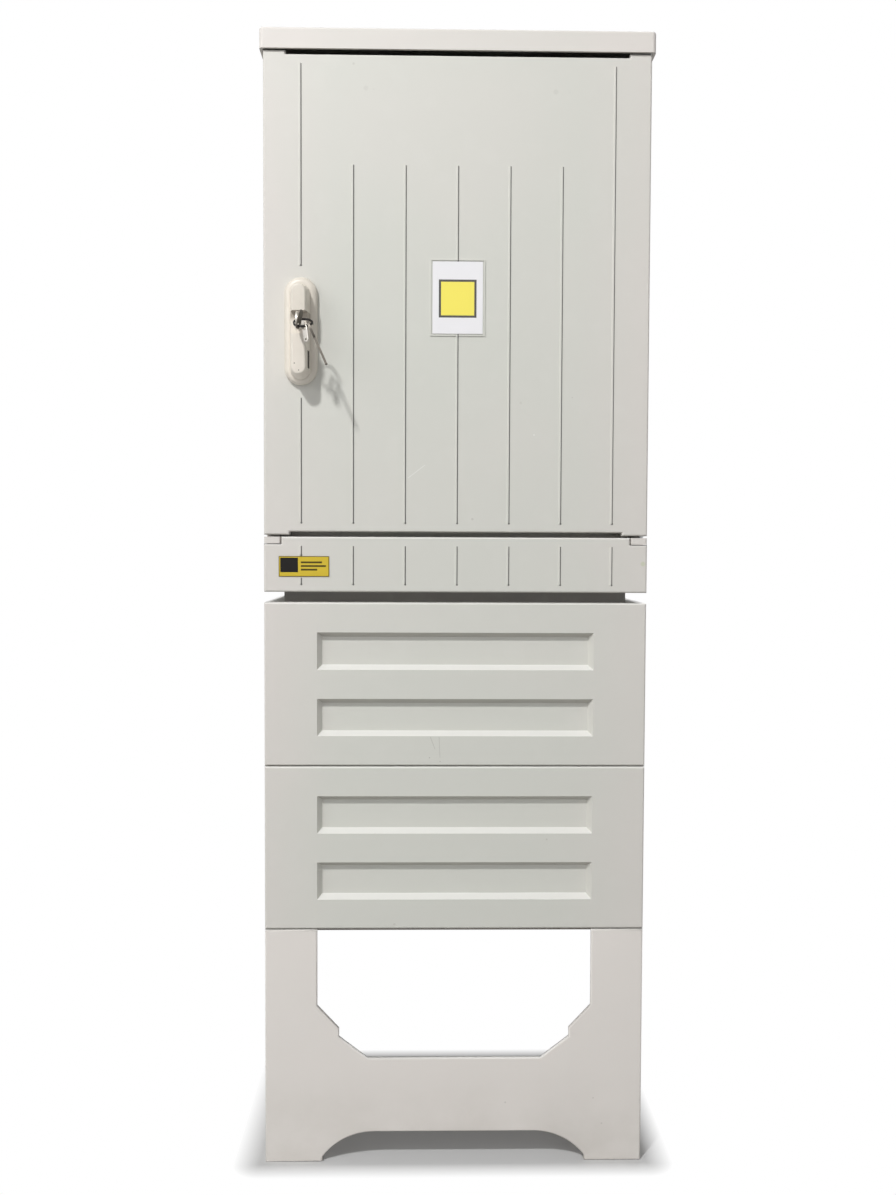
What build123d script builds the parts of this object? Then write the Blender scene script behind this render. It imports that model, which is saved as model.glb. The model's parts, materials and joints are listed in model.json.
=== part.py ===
from build123d import *
import math
import os

# Roadside utility cabinet: a moulded polyester box with one door, on its own foundation.
# Millimetres. X runs to the right, Y from the door to the back wall, Z up.
# The origin is the middle of the footprint, on the ground.

# Overall sizes
cabinet_width = 400.0
cabinet_depth = 250.0
foundation_height = 596.0
neck_height = 11.0
lower_panel_height = 57.5
door_height = 495.5
roof_skirt_height = 21.5
roof_rise = 8.0
roof_overhang = 3.5

# Gaps between the mouldings
door_bottom_gap = 2.0
roof_gap = 0.5
door_gap = 2.0
cover_gap = 1.0
slip_gap = 0.3
running_gap = 0.05

# Walls and trays
moulded_wall = 3.5
foundation_wall = 4.0
tray_depth = 22.0
edge_radius = 2.0
frame_flange_width = 18.0
channel_flange_width = 22.0

# Posting ribs on the outer faces
rib_margin = 38.0
rib_count = 7
side_rib_margin = 44.0
side_rib_count = 4
rib_base = 2.8
rib_crest = 1.3
rib_height = 1.0
rib_root = 0.5
short_rib_drop = 115.5
outer_rib_drop = 13.5
rib_foot = 12.5

# Vent slots along the door's top and bottom edges
vent_top_margin = 23.0
vent_top_height = 4.0
vent_bottom_margin = 26.5
vent_bottom_height = 3.2

# Foundation frame with its window and arch
crossbar_top = 112.0
arch_height = 32.0
frame_top = 250.0
window_margin = 55.0
window_shoulder = 168.5
seam_lift = 1.0
foot_width = 60.5
arch_half = 85.0
arch_spring = 5.0
shoulder_run = 23.0
shoulder_drop = 24.5
shoulder_flat = 9.0
corner_step = 5.0
corner_step_drop = 4.0
corner_run = 25.0
back_leg_width = 18.0
back_header_foot = 176.0

# Bevelled recesses in the foundation covers
recess_side_margin = 55.0
recess_margin = 31.25
recess_spacing = 30.5
recess_depth = 8.0
recess_run = 5.0

# Hinges
hinge_pin_radius = 2.5
hinge_inset = 4.5
hinge_depth = 12.0
hinge_boss_height = 24.0
hinge_lug_width = 17.0
hinge_lug_height = 7.0

# Seal
seal_inset = 9.5
seal_width = 8.0
seal_ledge_depth = 13.0

# Handle and lock
handle_inset = 39.0
handle_rise = 209.5
spindle_rise = 4.0
escutcheon_width = 34.0
escutcheon_height = 110.0
escutcheon_reach = 9.0
escutcheon_round = 6.0
lever_width = 20.5
lever_length = 97.0
lever_reach = 30.0
lever_taper = 8.0
lever_drop = 2.0
platform_reach = 22.0
cover_rise = 16.5
pocket_drop = 6.5
hub_radius = 8.0
spindle_side = 8.0
plug_radius = 4.0
cylinder_radius = 5.6

# Rack and pinion that drives the two locking rods
gear_module = 1.0
gear_teeth = 16
gear_pressure = math.radians(20.0)
gear_backlash = 0.16
gear_addendum = 0.9
gear_dedendum = 1.25
rack_dedendum = 1.15
gear_depth = 29.0
gear_width = 5.0
rack_back = 5.25
rod_clear = 2.0
case_clear = 1.1
case_wall = 1.5
case_depth = 38.0
case_length = 64.0
case_hole_radius = 6.2

# Rails across the front of the box
upper_rail_drop = 24.0
lower_rail_drop = 22.5
lower_rail_rise = 17.5
rail_return = 16.0

# Keys
key_thickness = 2.2
key_bow_radius = 9.0
key_bow_reach = 40.0
key_hole_reach = 44.0
key_hole_radius = 3.0
ring_radius = 9.4
ring_wire = 0.7
ring_tilt = math.radians(56.0)
ring_turn = math.radians(44.0)
spare_turn = math.radians(45.0)
spare_lean = math.radians(24.0)
spare_length = 46.0
tag_turn = math.radians(118.0)
tag_length = 19.0
tag_width = 8.0
tag_thickness = 1.0
tag_hole_radius = 2.2

# Sign and label
sign_x = 0.5
sign_rise = 208.5
sign_width = 52.0
sign_height = 74.0
sign_rim = 1.4
sign_rim_gap = 1.0
sign_thickness = 0.8
label_inset = 15.5
label_rise = 15.9
label_width = 52.4
label_height = 21.4
label_thickness = 0.6

# Equipment inside the box
plate_margin = 35.0
plate_rise = 48.0
plate_drop = 32.0
plate_corner = 5.0
plate_thickness = 4.0
plate_standoff = 22.0
switch_half = 53.0
switch_lift = 5.0
switch_height = 148.0
switch_base_depth = 48.0
switch_cover_depth = 30.0
pole_pitch = 33.0
busbar_width = 16.0
busbar_thickness = 4.0
post_depth = 26.0
upper_post_drop = 55.0
lower_post_rise = 120.0
earth_bar_rise = 45.0
earth_bar_margin = 25.0
earth_post_margin = 25.0

# Cable rail in the foundation
cable_rail_drop = 76.0
cable_rail_inset = 95.0
cable_radius = 17.0
cable_pitch = 90.0

# Heights and faces that follow from the sizes above
half_width = cabinet_width / 2
front = -cabinet_depth / 2
back = cabinet_depth / 2
box_foot = foundation_height + neck_height
panel_top = box_foot + lower_panel_height
door_foot = panel_top + door_bottom_gap
door_top = door_foot + door_height
roof_foot = door_top + roof_gap
roof_eaves = roof_foot + roof_skirt_height
wall_top = roof_eaves - moulded_wall
body_front = front + tray_depth + door_gap
rail_half = half_width - frame_flange_width
hinge_x = half_width - hinge_inset
hinge_y = front + hinge_depth
handle_x = -half_width + handle_inset
handle_z = door_foot + handle_rise
spindle_z = handle_z + spindle_rise
lever_z = handle_z - lever_drop
cover_foot = handle_z + cover_rise
pocket_foot = handle_z - pocket_drop
upper_rail_foot = door_top - upper_rail_drop
lower_rail_foot = panel_top - lower_rail_drop
lower_rail_top = door_foot + lower_rail_rise
cover_seam = (frame_top + foundation_height) / 2 + seam_lift
sign_foot = door_foot + sign_rise
label_left = -half_width + label_inset
label_foot = box_foot + label_rise
plate_half = half_width - plate_margin
plate_foot = box_foot + plate_rise
plate_top = door_top - plate_drop
upper_post_z = plate_top - upper_post_drop
lower_post_z = plate_foot + lower_post_rise
switch_foot = (upper_post_z + lower_post_z - switch_height) / 2 + switch_lift
earth_bar_z = plate_foot + earth_bar_rise
earth_bar_half = plate_half - earth_bar_margin
cable_rail_z = foundation_height - cable_rail_drop
cable_rail_y = back - cable_rail_inset
gear_radius = gear_module * gear_teeth / 2
rod_travel = gear_radius * math.pi / 2
deck_thickness = 5.0
plate_back = back - moulded_wall - plate_standoff
plate_front = plate_back - plate_thickness
rib_pitch = (cabinet_width - 2 * rib_margin) / (rib_count - 1)
rib_places = [rib_pitch * (i - (rib_count - 1) / 2) for i in range(rib_count)]
side_rib_pitch = (cabinet_depth - 2 * side_rib_margin) / (side_rib_count - 1)
side_rib_places = [side_rib_pitch * (i - (side_rib_count - 1) / 2) for i in range(side_rib_count)]


def block(x_low, x_high, y_low, y_high, z_low, z_high):
    size = (x_high - x_low, y_high - y_low, z_high - z_low)
    middle = ((x_low + x_high) / 2, (y_low + y_high) / 2, (z_low + z_high) / 2)
    return Pos(*middle) * Box(*size)


def facing(sketch, y_low, y_high):
    """Raises a sketch drawn in X and Z into a solid between two depths."""
    plane = Plane(origin=(0, y_low, 0), x_dir=(1, 0, 0), z_dir=(0, -1, 0))
    return extrude(plane * sketch, amount=y_low - y_high)


def upright(sketch, z_low, z_high):
    """Raises a sketch drawn in X and Y into a solid between two heights."""
    return extrude(Pos(0, 0, z_low) * sketch, amount=z_high - z_low)


def crosswise(sketch, x_low, x_high):
    """Raises a sketch drawn in Y and Z into a solid between two widths."""
    plane = Plane(origin=(x_low, 0, 0), x_dir=(0, 1, 0), z_dir=(1, 0, 0))
    return extrude(plane * sketch, amount=x_high - x_low)


def polygon(*points):
    return make_face(Polyline(*points, close=True))


def rectangle(x_low, x_high, z_low, z_high):
    return Pos((x_low + x_high) / 2, (z_low + z_high) / 2) * Rectangle(x_high - x_low, z_high - z_low)


def rod_y(x, z, y_low, y_high, radius):
    """A round bar that runs along Y."""
    return facing(Pos(x, z) * Circle(radius), y_low, y_high)


def rod_z(x, y, z_low, z_high, radius):
    """A round bar that runs along Z."""
    return upright(Pos(x, y) * Circle(radius), z_low, z_high)


def turned_back(solid):
    """Carries a front moulding round to the back of the cabinet."""
    return Rot(0, 0, 180) * solid


def mirrored(solid):
    return mirror(solid, about=Plane.YZ)


def tray(outline, face_y, depth, wall):
    """A shallow moulding, open at the back, with a rounded front edge."""
    body = facing(outline, face_y, face_y + depth)
    rim = [e for e in body.edges() if abs(e.center().Y - face_y) < 1e-6]
    body = fillet(rim, edge_radius)
    pocket = facing(offset(outline, amount=-wall, kind=Kind.INTERSECTION), face_y + wall, face_y + depth)
    return body - pocket


def rib(x, z_low, z_high, face_y):
    """A low ridge with sloping flanks and sloping ends, standing out towards -Y."""
    section = polygon(
        (x - rib_base / 2, face_y + rib_root),
        (x - rib_base / 2, face_y),
        (x - rib_crest / 2, face_y - rib_height),
        (x + rib_crest / 2, face_y - rib_height),
        (x + rib_base / 2, face_y),
        (x + rib_base / 2, face_y + rib_root),
    )
    return upright(section, z_low, z_high)


nodes = {}


# Foundation: legs, window and arch

fixing_x = half_width - channel_flange_width / 2
frame_pad_low = 40.0
frame_pad_middle = 140.0
frame_pad_drop = 25.0
frame_pad_places = (frame_pad_low, frame_pad_middle, frame_top - frame_pad_drop)
pad_half = 6.0
body_seat = front + tray_depth


def foundation_frame():
    """The lower frame: two legs joined by a crossbar, with an arch between the feet."""
    window_half = half_width - window_margin
    foot_inner = half_width - foot_width
    arch = TangentArc((arch_half, arch_height), (foot_inner, arch_spring), tangent=(1, 0))
    lug_x = window_half - shoulder_run
    lug_top = window_shoulder - shoulder_drop
    lug_foot = lug_top - shoulder_flat
    corner_x = lug_x - corner_step
    half = [
        Line((0, arch_height), (arch_half, arch_height)),
        arch,
        Polyline(
            (foot_inner, arch_spring),
            (foot_inner, 0),
            (half_width, 0),
            (half_width, frame_top),
            (window_half, frame_top),
            (window_half, window_shoulder),
            (lug_x, lug_top),
            (lug_x, lug_foot),
            (corner_x, lug_foot - corner_step_drop),
            (corner_x - corner_run, crossbar_top),
            (0, crossbar_top),
        ),
        Line((0, crossbar_top), (0, arch_height)),
    ]
    right = make_face(half)
    left = mirror(right, about=Plane.YZ)
    return padded_frame((right + left).clean())


def back_frame():
    """The rear frame: two slim legs under a header, open between them down to the ground."""
    inner = half_width - back_leg_width
    outline = rectangle(-half_width, half_width, 0, frame_top) - rectangle(-inner, inner, 0, back_header_foot)
    return turned_back(padded_frame(outline))


def edge_pad(side, z, face_y, wall, half_height):
    """A pad inside a moulding's side wall, level with its back, for a fastener."""
    ends = sorted((side * (fixing_x - pad_half), side * (half_width - wall + rib_root)))
    return block(*ends, face_y + wall - rib_root, body_seat, z - half_height, z + half_height)


def padded_frame(outline):
    """A frame moulding with a pad for each bolt that holds it to the side channels."""
    body = tray(outline, front, tray_depth, foundation_wall)
    return body + [edge_pad(side, z, front, foundation_wall, pad_half) for side in (-1, 1) for z in frame_pad_places]


nodes["foundation_front_frame"] = foundation_frame()
nodes["foundation_back_frame"] = back_frame()

# Foundation: covers with bevelled recesses

tongue_inset = 28.0
tongue_half_width = 4.6
tongue_half_height = 4.6
tongue_length = 12.0
tongue_taper = 3.0
tongue_tip_half = 2.0
cover_spans = {"lower": (frame_top + cover_gap, cover_seam - cover_gap / 2),
               "upper": (cover_seam + cover_gap / 2, foundation_height)}
tongue_places = {name: (low + tongue_inset, high - tongue_inset) for name, (low, high) in cover_spans.items()}


def recess(z_middle, height, grow, depth):
    """A bevelled dish, wide at the front face and narrower at its floor."""
    plane = Plane(origin=(0, front, z_middle), x_dir=(1, 0, 0), z_dir=(0, -1, 0))
    mouth = Rectangle(cabinet_width - 2 * recess_side_margin + 2 * grow, height + 2 * grow)
    taper = math.degrees(math.atan(recess_run / recess_depth))
    return extrude(plane * mouth, amount=-depth, taper=taper)


def tongue(side, z):
    """A snap tongue with a narrowed tip, which enters a slot in the side channel's flange."""
    tip = body_seat + tongue_length
    outline = polygon(
        (body_seat - rib_root, z - tongue_half_height),
        (tip - tongue_taper, z - tongue_half_height),
        (tip, z - tongue_tip_half),
        (tip, z + tongue_tip_half),
        (tip - tongue_taper, z + tongue_half_height),
        (body_seat - rib_root, z + tongue_half_height),
    )
    return crosswise(outline, side * fixing_x - tongue_half_width, side * fixing_x + tongue_half_width)


def foundation_cover(name):
    low, high = cover_spans[name]
    body = tray(rectangle(-half_width, half_width, low, high), front, tray_depth, moulded_wall)
    height = (high - low - 2 * recess_margin - recess_spacing) / 2
    centres = [low + recess_margin + height / 2, high - recess_margin - height / 2]
    body += [recess(z, height, moulded_wall, recess_depth + moulded_wall) for z in centres]
    body -= [recess(z, height, 0.0, recess_depth) for z in centres]
    for z in tongue_places[name]:
        for side in (-1, 1):
            body += edge_pad(side, z, front, moulded_wall, pad_half)
            body += tongue(side, z)
    return body


nodes["foundation_lower_cover"] = foundation_cover("lower")
nodes["foundation_upper_cover"] = foundation_cover("upper")
nodes["foundation_back_lower_cover"] = turned_back(nodes["foundation_lower_cover"])
nodes["foundation_back_upper_cover"] = turned_back(nodes["foundation_upper_cover"])

# Foundation: side channels and top deck

channel_front = body_seat
channel_top = foundation_height - deck_thickness
foot_thickness = 4.0


def foundation_side():
    """A channel in plan, with a foot plate between its flanges."""
    outer, inner = -half_width, -half_width + foundation_wall
    tip = -half_width + channel_flange_width
    section = polygon(
        (outer, channel_front),
        (tip, channel_front),
        (tip, channel_front + foundation_wall),
        (inner, channel_front + foundation_wall),
        (inner, -channel_front - foundation_wall),
        (tip, -channel_front - foundation_wall),
        (tip, -channel_front),
        (outer, -channel_front),
    )
    body = upright(section, 0, channel_top)
    body += block(inner - rib_root, tip, channel_front + foundation_wall - rib_root,
                  -channel_front - foundation_wall + rib_root, 0, foot_thickness)
    slot_x = (-fixing_x - tongue_half_width - slip_gap, -fixing_x + tongue_half_width + slip_gap)
    slot_half = tongue_half_height + slip_gap
    for z in tongue_places["lower"] + tongue_places["upper"]:
        body -= block(*slot_x, channel_front, channel_front + foundation_wall, z - slot_half, z + slot_half)
        body -= block(*slot_x, -channel_front - foundation_wall, -channel_front, z - slot_half, z + slot_half)
    return body


nodes["foundation_left_side"] = foundation_side()
nodes["foundation_right_side"] = mirrored(nodes["foundation_left_side"])

deck_side_margin = 40.0
deck_front_margin = 57.0
deck_back_margin = 53.0
deck_hole_half = half_width - deck_side_margin
deck_hole_front = front + deck_front_margin
deck_hole_back = back - deck_back_margin
deck_lip = 10.0
deck = block(-half_width, half_width, channel_front, -channel_front, channel_top, foundation_height)
deck += block(-deck_hole_half - foundation_wall, deck_hole_half + foundation_wall,
              deck_hole_front - foundation_wall, deck_hole_back + foundation_wall,
              channel_top - deck_lip, foundation_height)
deck -= block(-deck_hole_half, deck_hole_half, deck_hole_front, deck_hole_back,
              channel_top - deck_lip, foundation_height)
nodes["foundation_top_deck"] = deck

# Foundation: cable rail, saddles and straps

rail_depth = 16.0
rail_height = 30.0
rail_sheet = 2.0
rail_lip = 6.0
rail_end = half_width - foundation_wall
saddle_thickness = 12.0
saddle_height = 24.0
saddle_half = 30.0
saddle_wall = 1.5
strap_thickness = 8.0
strap_corner = 3.0
cable_centres = [cable_pitch * i for i in (-1, 0, 1)]
saddle_back = cable_rail_y - rail_depth / 2
cable_y = saddle_back - saddle_wall - cable_radius
saddle_foot = cable_rail_z + (rail_height - saddle_height) / 2
strap_front = cable_y - cable_radius - strap_thickness


def cable_rail():
    """A channel rail, open to the back, from one side of the foundation to the other."""
    low, high = cable_rail_z, cable_rail_z + rail_height
    near, far = cable_rail_y - rail_depth / 2, cable_rail_y + rail_depth / 2
    section = polygon(
        (near, low), (far, low), (far, low + rail_lip), (far - rail_sheet, low + rail_lip),
        (far - rail_sheet, low + rail_sheet), (near + rail_sheet, low + rail_sheet),
        (near + rail_sheet, high - rail_sheet), (far - rail_sheet, high - rail_sheet),
        (far - rail_sheet, high - rail_lip), (far, high - rail_lip), (far, high), (near, high),
    )
    return crosswise(section, -rail_end, rail_end)


def cable_half(x, y_low, y_high, outer_y):
    """One half of a cable clamp, hollowed round the cable, its outer corners cut off."""
    body = block(x - saddle_half, x + saddle_half, y_low, y_high, saddle_foot, saddle_foot + saddle_height)
    corners = [e for e in body.edges().filter_by(Axis.Z) if abs(e.center().Y - outer_y) < 1e-6]
    body = chamfer(corners, strap_corner)
    return body - rod_z(x, cable_y, saddle_foot, saddle_foot + saddle_height, cable_radius)


nodes["cable_rail"] = cable_rail()
nodes["cable_saddles"] = Compound(children=[
    cable_half(x, cable_y + slip_gap / 2, saddle_back, saddle_back) for x in cable_centres])
nodes["cable_straps"] = Compound(children=[
    cable_half(x, strap_front, cable_y - slip_gap / 2, strap_front) for x in cable_centres])

# Box: base frame with its neck

neck_margin = 18.4
neck_half = half_width - neck_margin
neck_wall = 12.0
neck_front_wall = 16.0
neck_front = body_front
rear_lap = 15.0
base_plate = 6.0
base_front = body_front + moulded_wall
wall_inner = half_width - moulded_wall
back_inner = back - moulded_wall


def base_frame():
    """A ring that the walls stand round, with a neck that stands on the foundation."""
    plate = block(-wall_inner, wall_inner, base_front, back_inner, box_foot, box_foot + base_plate)
    neck = block(-neck_half, neck_half, neck_front, -neck_front, foundation_height, box_foot + base_plate)
    opening = block(-neck_half + neck_wall, neck_half - neck_wall, neck_front + neck_front_wall,
                    -neck_front - neck_wall, foundation_height, box_foot + base_plate)
    body = plate + neck - opening
    for side in (-1, 1):
        inner, outer = side * (wall_inner - rear_lap - slip_gap), side * wall_inner
        body -= block(min(inner, outer), max(inner, outer), back_inner - moulded_wall - slip_gap, back_inner,
                      box_foot, box_foot + base_plate)
    return body


nodes["base_frame"] = base_frame()

# Box: side walls, back wall and roof

bracket_thickness = 5.0
bracket_length = 26.0
bracket_gap = 1.5
bracket_foot = door_top + bracket_gap
wall_rib_foot = box_foot + rib_foot
wall_rib_top = roof_foot - rib_foot


def side_wall():
    """The left wall: a channel in plan, with a front flange for the seal and a rear lap."""
    outer = -half_width
    section = polygon(
        (outer, body_front),
        (outer + frame_flange_width, body_front),
        (outer + frame_flange_width, body_front + moulded_wall),
        (-wall_inner, body_front + moulded_wall),
        (-wall_inner, back_inner - moulded_wall),
        (-wall_inner + rear_lap, back_inner - moulded_wall),
        (-wall_inner + rear_lap, back_inner),
        (-wall_inner, back_inner),
        (-wall_inner, back),
        (outer, back),
    )
    body = upright(section, box_foot, wall_top)
    rear_edge = [e for e in body.edges().filter_by(Axis.Z)
                 if abs(e.center().X - outer) < 1e-6 and abs(e.center().Y - back) < 1e-6]
    body = fillet(rear_edge, edge_radius)
    ribs = [rib(y, wall_rib_foot, wall_rib_top, -half_width) for y in side_rib_places]
    body += [Rot(0, 0, -90) * r for r in ribs]
    return body - block(outer, outer + frame_flange_width, body_front, body_front + bracket_length,
                        bracket_foot, wall_top)


nodes["left_side_wall"] = side_wall()
nodes["right_side_wall"] = mirrored(nodes["left_side_wall"])

back_wall = block(-wall_inner, wall_inner, back_inner, back, box_foot, wall_top)
back_wall += [Rot(0, 0, 180) * rib(x, wall_rib_foot, wall_rib_top, -back) for x in rib_places]
nodes["back_wall"] = back_wall

roof_half = half_width + roof_overhang
roof_depth_half = cabinet_depth / 2 + roof_overhang
roof_hip = 70.0
roof_corner = 4.0
roof_edge = 2.5


def roof_plan(inset):
    corners = Rectangle(2 * (roof_half - inset), 2 * (roof_depth_half - inset)).vertices()
    return fillet(corners, roof_corner - inset / 2)


def roof_slopes(inset, eaves):
    """Four low slopes under a flat ridge, where the front view meets the side view."""
    half_x, half_y, top = roof_half - inset, roof_depth_half - inset, eaves + roof_rise
    ridge_x, ridge_y = roof_half - roof_hip, roof_depth_half - roof_hip
    front_view = polygon((-half_x, eaves), (half_x, eaves), (ridge_x, top), (-ridge_x, top))
    side_view = polygon((-half_y, eaves), (half_y, eaves), (ridge_y, top), (-ridge_y, top))
    return facing(front_view, -half_y, half_y) & crosswise(side_view, -half_x, half_x)


roof_wall = roof_overhang - slip_gap
roof_skirt = upright(roof_plan(0.0), roof_foot, roof_eaves)
roof = fillet(roof_skirt.faces().sort_by(Axis.Z)[-1].edges(), roof_edge)
roof += roof_slopes(roof_edge + rib_root, roof_eaves)
roof -= upright(roof_plan(roof_wall), roof_foot, wall_top) + roof_slopes(roof_wall, wall_top)
nodes["roof"] = roof

# Box: rails across the front, lugs, hinges

upper_rail_rise = 1.0
upper_rail_top = door_top + upper_rail_rise


def front_rail(low, high, foot_return):
    """A channel between the two front flanges; its lip returns into the box."""
    near = body_front
    turn = low if foot_return else high - moulded_wall
    section = polygon((near, low), (near + moulded_wall, low), (near + moulded_wall, high), (near, high))
    lip = polygon((near, turn), (near + rail_return, turn),
                  (near + rail_return, turn + moulded_wall), (near, turn + moulded_wall))
    return crosswise((section + lip).clean(), -rail_half, rail_half)


nodes["upper_rail"] = front_rail(upper_rail_foot, upper_rail_top, False)
nodes["lower_rail"] = front_rail(lower_rail_foot, lower_rail_top, True)

lug_top = panel_top
lug_foot = panel_top - hinge_lug_height
lug_inset = 0.5
lug_front = front + lug_inset


def lower_lug(side):
    """A lug under the corner of the door, standing out from the wall's front flange."""
    outer, inner = side * half_width, side * (half_width - hinge_lug_width)
    lug = block(min(outer, inner), max(outer, inner), lug_front, body_front, lug_foot, lug_top)
    return fillet(lug.edges().filter_by(Axis.Z).group_by(Axis.Y)[0], edge_radius)


hinge_lug = lower_lug(1) - rod_z(hinge_x, hinge_y, lug_foot, lug_top, hinge_pin_radius + running_gap)
nodes["lower_lugs"] = Compound(children=[lower_lug(-1), hinge_lug])

bracket = block(half_width - frame_flange_width, half_width, front + slip_gap,
                body_front + bracket_length, bracket_foot, bracket_foot + bracket_thickness)
bracket = fillet(bracket.edges().filter_by(Axis.Z).group_by(Axis.Y)[0], roof_corner)
bracket -= rod_z(hinge_x, hinge_y, bracket_foot, bracket_foot + bracket_thickness,
                 hinge_pin_radius + running_gap)
nodes["upper_hinge_bracket"] = bracket

pin_length = 26.0
pin_head_radius = 3.6
pin_head_height = 2.0
lower_pin = rod_z(hinge_x, hinge_y, lug_foot, lug_foot + pin_length, hinge_pin_radius)
upper_pin_top = bracket_foot + bracket_thickness
upper_pin = rod_z(hinge_x, hinge_y, upper_pin_top - pin_length, upper_pin_top, hinge_pin_radius)
upper_pin += rod_z(hinge_x, hinge_y, upper_pin_top, upper_pin_top + pin_head_height, pin_head_radius)
nodes["hinge_pins"] = Compound(children=[lower_pin, upper_pin])

# Lower front panel

panel_proud = 1.0
lug_gap = 1.0
panel_front = front - panel_proud
panel_pad_near = moulded_wall - rib_root
panel_pad_far = 15.0
panel_pad_half = 5.0
panel_pad_rise = 15.0
panel_pad_drop = 18.5
panel_pad_places = (box_foot + panel_pad_rise, panel_top - panel_pad_drop)
notch_width = hinge_lug_width + lug_gap
notch_height = hinge_lug_height + slip_gap
short_rib_rise = 8.0
short_rib_gap = 9.5
short_rib_foot = box_foot + short_rib_rise
short_rib_top = panel_top - short_rib_gap
label_gap = 1.0


def lower_panel():
    """The panel under the door, with short ribs and a notch round each lug."""
    outline = polygon(
        (-half_width, box_foot),
        (half_width, box_foot),
        (half_width, panel_top - notch_height),
        (half_width - notch_width, panel_top - notch_height),
        (half_width - notch_width, panel_top),
        (-half_width + notch_width, panel_top),
        (-half_width + notch_width, panel_top - notch_height),
        (-half_width, panel_top - notch_height),
    )
    depth = body_front - panel_front
    body = tray(outline, panel_front, depth, moulded_wall)
    for z in panel_pad_places:
        for ends in ((-half_width + panel_pad_near, -half_width + panel_pad_far),
                     (half_width - panel_pad_far, half_width - panel_pad_near)):
            body += block(*ends, panel_front + moulded_wall - rib_root, body_front,
                          z - panel_pad_half, z + panel_pad_half)
    spans = [(x, short_rib_foot, short_rib_top) for x in rib_places[1:]]
    spans += [(rib_places[0], short_rib_foot, label_foot - label_gap),
              (rib_places[0], label_foot + label_height + label_gap, short_rib_top)]
    return body + [rib(x, low, high, panel_front) for x, low, high in spans]


nodes["lower_front_panel"] = lower_panel()

# Door

hinge_boss_half = 5.0
hinge_boss_trim = 0.5
hub_clear = 1.0
stiffener_half = 1.5
seal_outer_x = half_width - seal_inset
seal_foot = door_foot + seal_inset
seal_top = door_top - seal_inset
lower_stiffener_rise = 95.5
upper_stiffener_drop = 142.0
stiffener_places = (door_foot + lower_stiffener_rise, door_top - upper_stiffener_drop)
stiffener_depth = 12.0
sign_rim_outer = sign_rim + sign_rim_gap
sign_middle = sign_foot + sign_height / 2
handle_rib_gap = 13.0


def ring_face(outer_x, low, high, width):
    return rectangle(-outer_x, outer_x, low, high) - rectangle(
        -outer_x + width, outer_x - width, low + width, high - width)


def door_outline():
    """A rectangle with a shallow vent slot along its top and bottom edges."""
    shape = rectangle(-half_width, half_width, door_foot, door_top)
    top_half = half_width - vent_top_margin
    bottom_half = half_width - vent_bottom_margin
    shape -= rectangle(-top_half, top_half, door_top - vent_top_height, door_top)
    shape -= rectangle(-bottom_half, bottom_half, door_foot, door_foot + vent_bottom_height)
    return shape


def door_ribs():
    """Seven ribs: the outer two run nearly the full height; the handle and the sign break two."""
    ribs = []
    low = door_foot + rib_foot
    for index, x in enumerate(rib_places):
        outer = index in (0, rib_count - 1)
        high = door_top - (outer_rib_drop if outer else short_rib_drop)
        spans = [(low, high)]
        if index == 0:
            spans = [(low, handle_z - escutcheon_height / 2 - handle_rib_gap),
                     (handle_z + escutcheon_height / 2 + handle_rib_gap, high)]
        if x == 0:
            spans = [(low, sign_foot - sign_rim_outer), (sign_foot + sign_height + sign_rim_outer, high)]
        ribs += [rib(x, a, b, front) for a, b in spans]
    return ribs


def door():
    body = tray(door_outline(), front, tray_depth, moulded_wall)
    body += facing(ring_face(seal_outer_x, seal_foot, seal_top, seal_width),
                   front + moulded_wall - rib_root, front + seal_ledge_depth)
    for z in stiffener_places:
        body += block(-seal_outer_x + seal_width, seal_outer_x - seal_width, front + moulded_wall - rib_root,
                      front + stiffener_depth, z - stiffener_half, z + stiffener_half)
    boss = (hinge_x - hinge_boss_half + hinge_boss_trim, half_width,
            hinge_y - hinge_boss_half, hinge_y + hinge_boss_half)
    body += block(*boss, door_foot, door_foot + hinge_boss_height)
    body += block(*boss, door_top - hinge_boss_height, door_top)
    bore = hinge_pin_radius + running_gap
    body -= rod_z(hinge_x, hinge_y, door_foot, door_foot + hinge_boss_height, bore)
    body -= rod_z(hinge_x, hinge_y, door_top - hinge_boss_height, door_top, bore)
    rim_outer_x = sign_width / 2 + sign_rim_outer
    rim = Rectangle(2 * rim_outer_x, sign_height + 2 * sign_rim_outer)
    rim -= Rectangle(sign_width + 2 * sign_rim_gap, sign_height + 2 * sign_rim_gap)
    body += facing(Pos(sign_x, sign_middle) * rim, front - rib_height, front + rib_root)
    body += door_ribs()
    return body - rod_y(handle_x, spindle_z, front, front + moulded_wall, hub_radius + hub_clear)


nodes["door"] = door()

nodes["door_seal"] = facing(ring_face(seal_outer_x, seal_foot, seal_top, seal_width),
                            front + seal_ledge_depth, body_front - slip_gap)
sign_left = sign_x - sign_width / 2
nodes["sign_plate"] = facing(rectangle(sign_left, sign_left + sign_width, sign_foot, sign_foot + sign_height),
                             front - sign_thickness, front)
label_shape = rectangle(label_left, label_left + label_width, label_foot, label_foot + label_height)
nodes["label_plate"] = facing(label_shape, panel_front - label_thickness, panel_front)

# Handle: escutcheon, lever, cover and cylinder


def stadium(length, width):
    """An upright slot shape, round at both ends."""
    return Rot(0, 0, 90) * SlotOverall(length, width)


def escutcheon():
    """The fixed base of the handle, domed round its edge."""
    shape = Pos(handle_x, handle_z) * stadium(escutcheon_height, escutcheon_width)
    body = facing(shape, front - escutcheon_reach, front)
    rim = [e for e in body.edges() if abs(e.center().Y - (front - escutcheon_reach)) < 1e-6]
    body = fillet(rim, escutcheon_round)
    return body - rod_y(handle_x, spindle_z, front - escutcheon_reach, front, hub_radius + running_gap)


nodes["handle_escutcheon"] = escutcheon()

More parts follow.
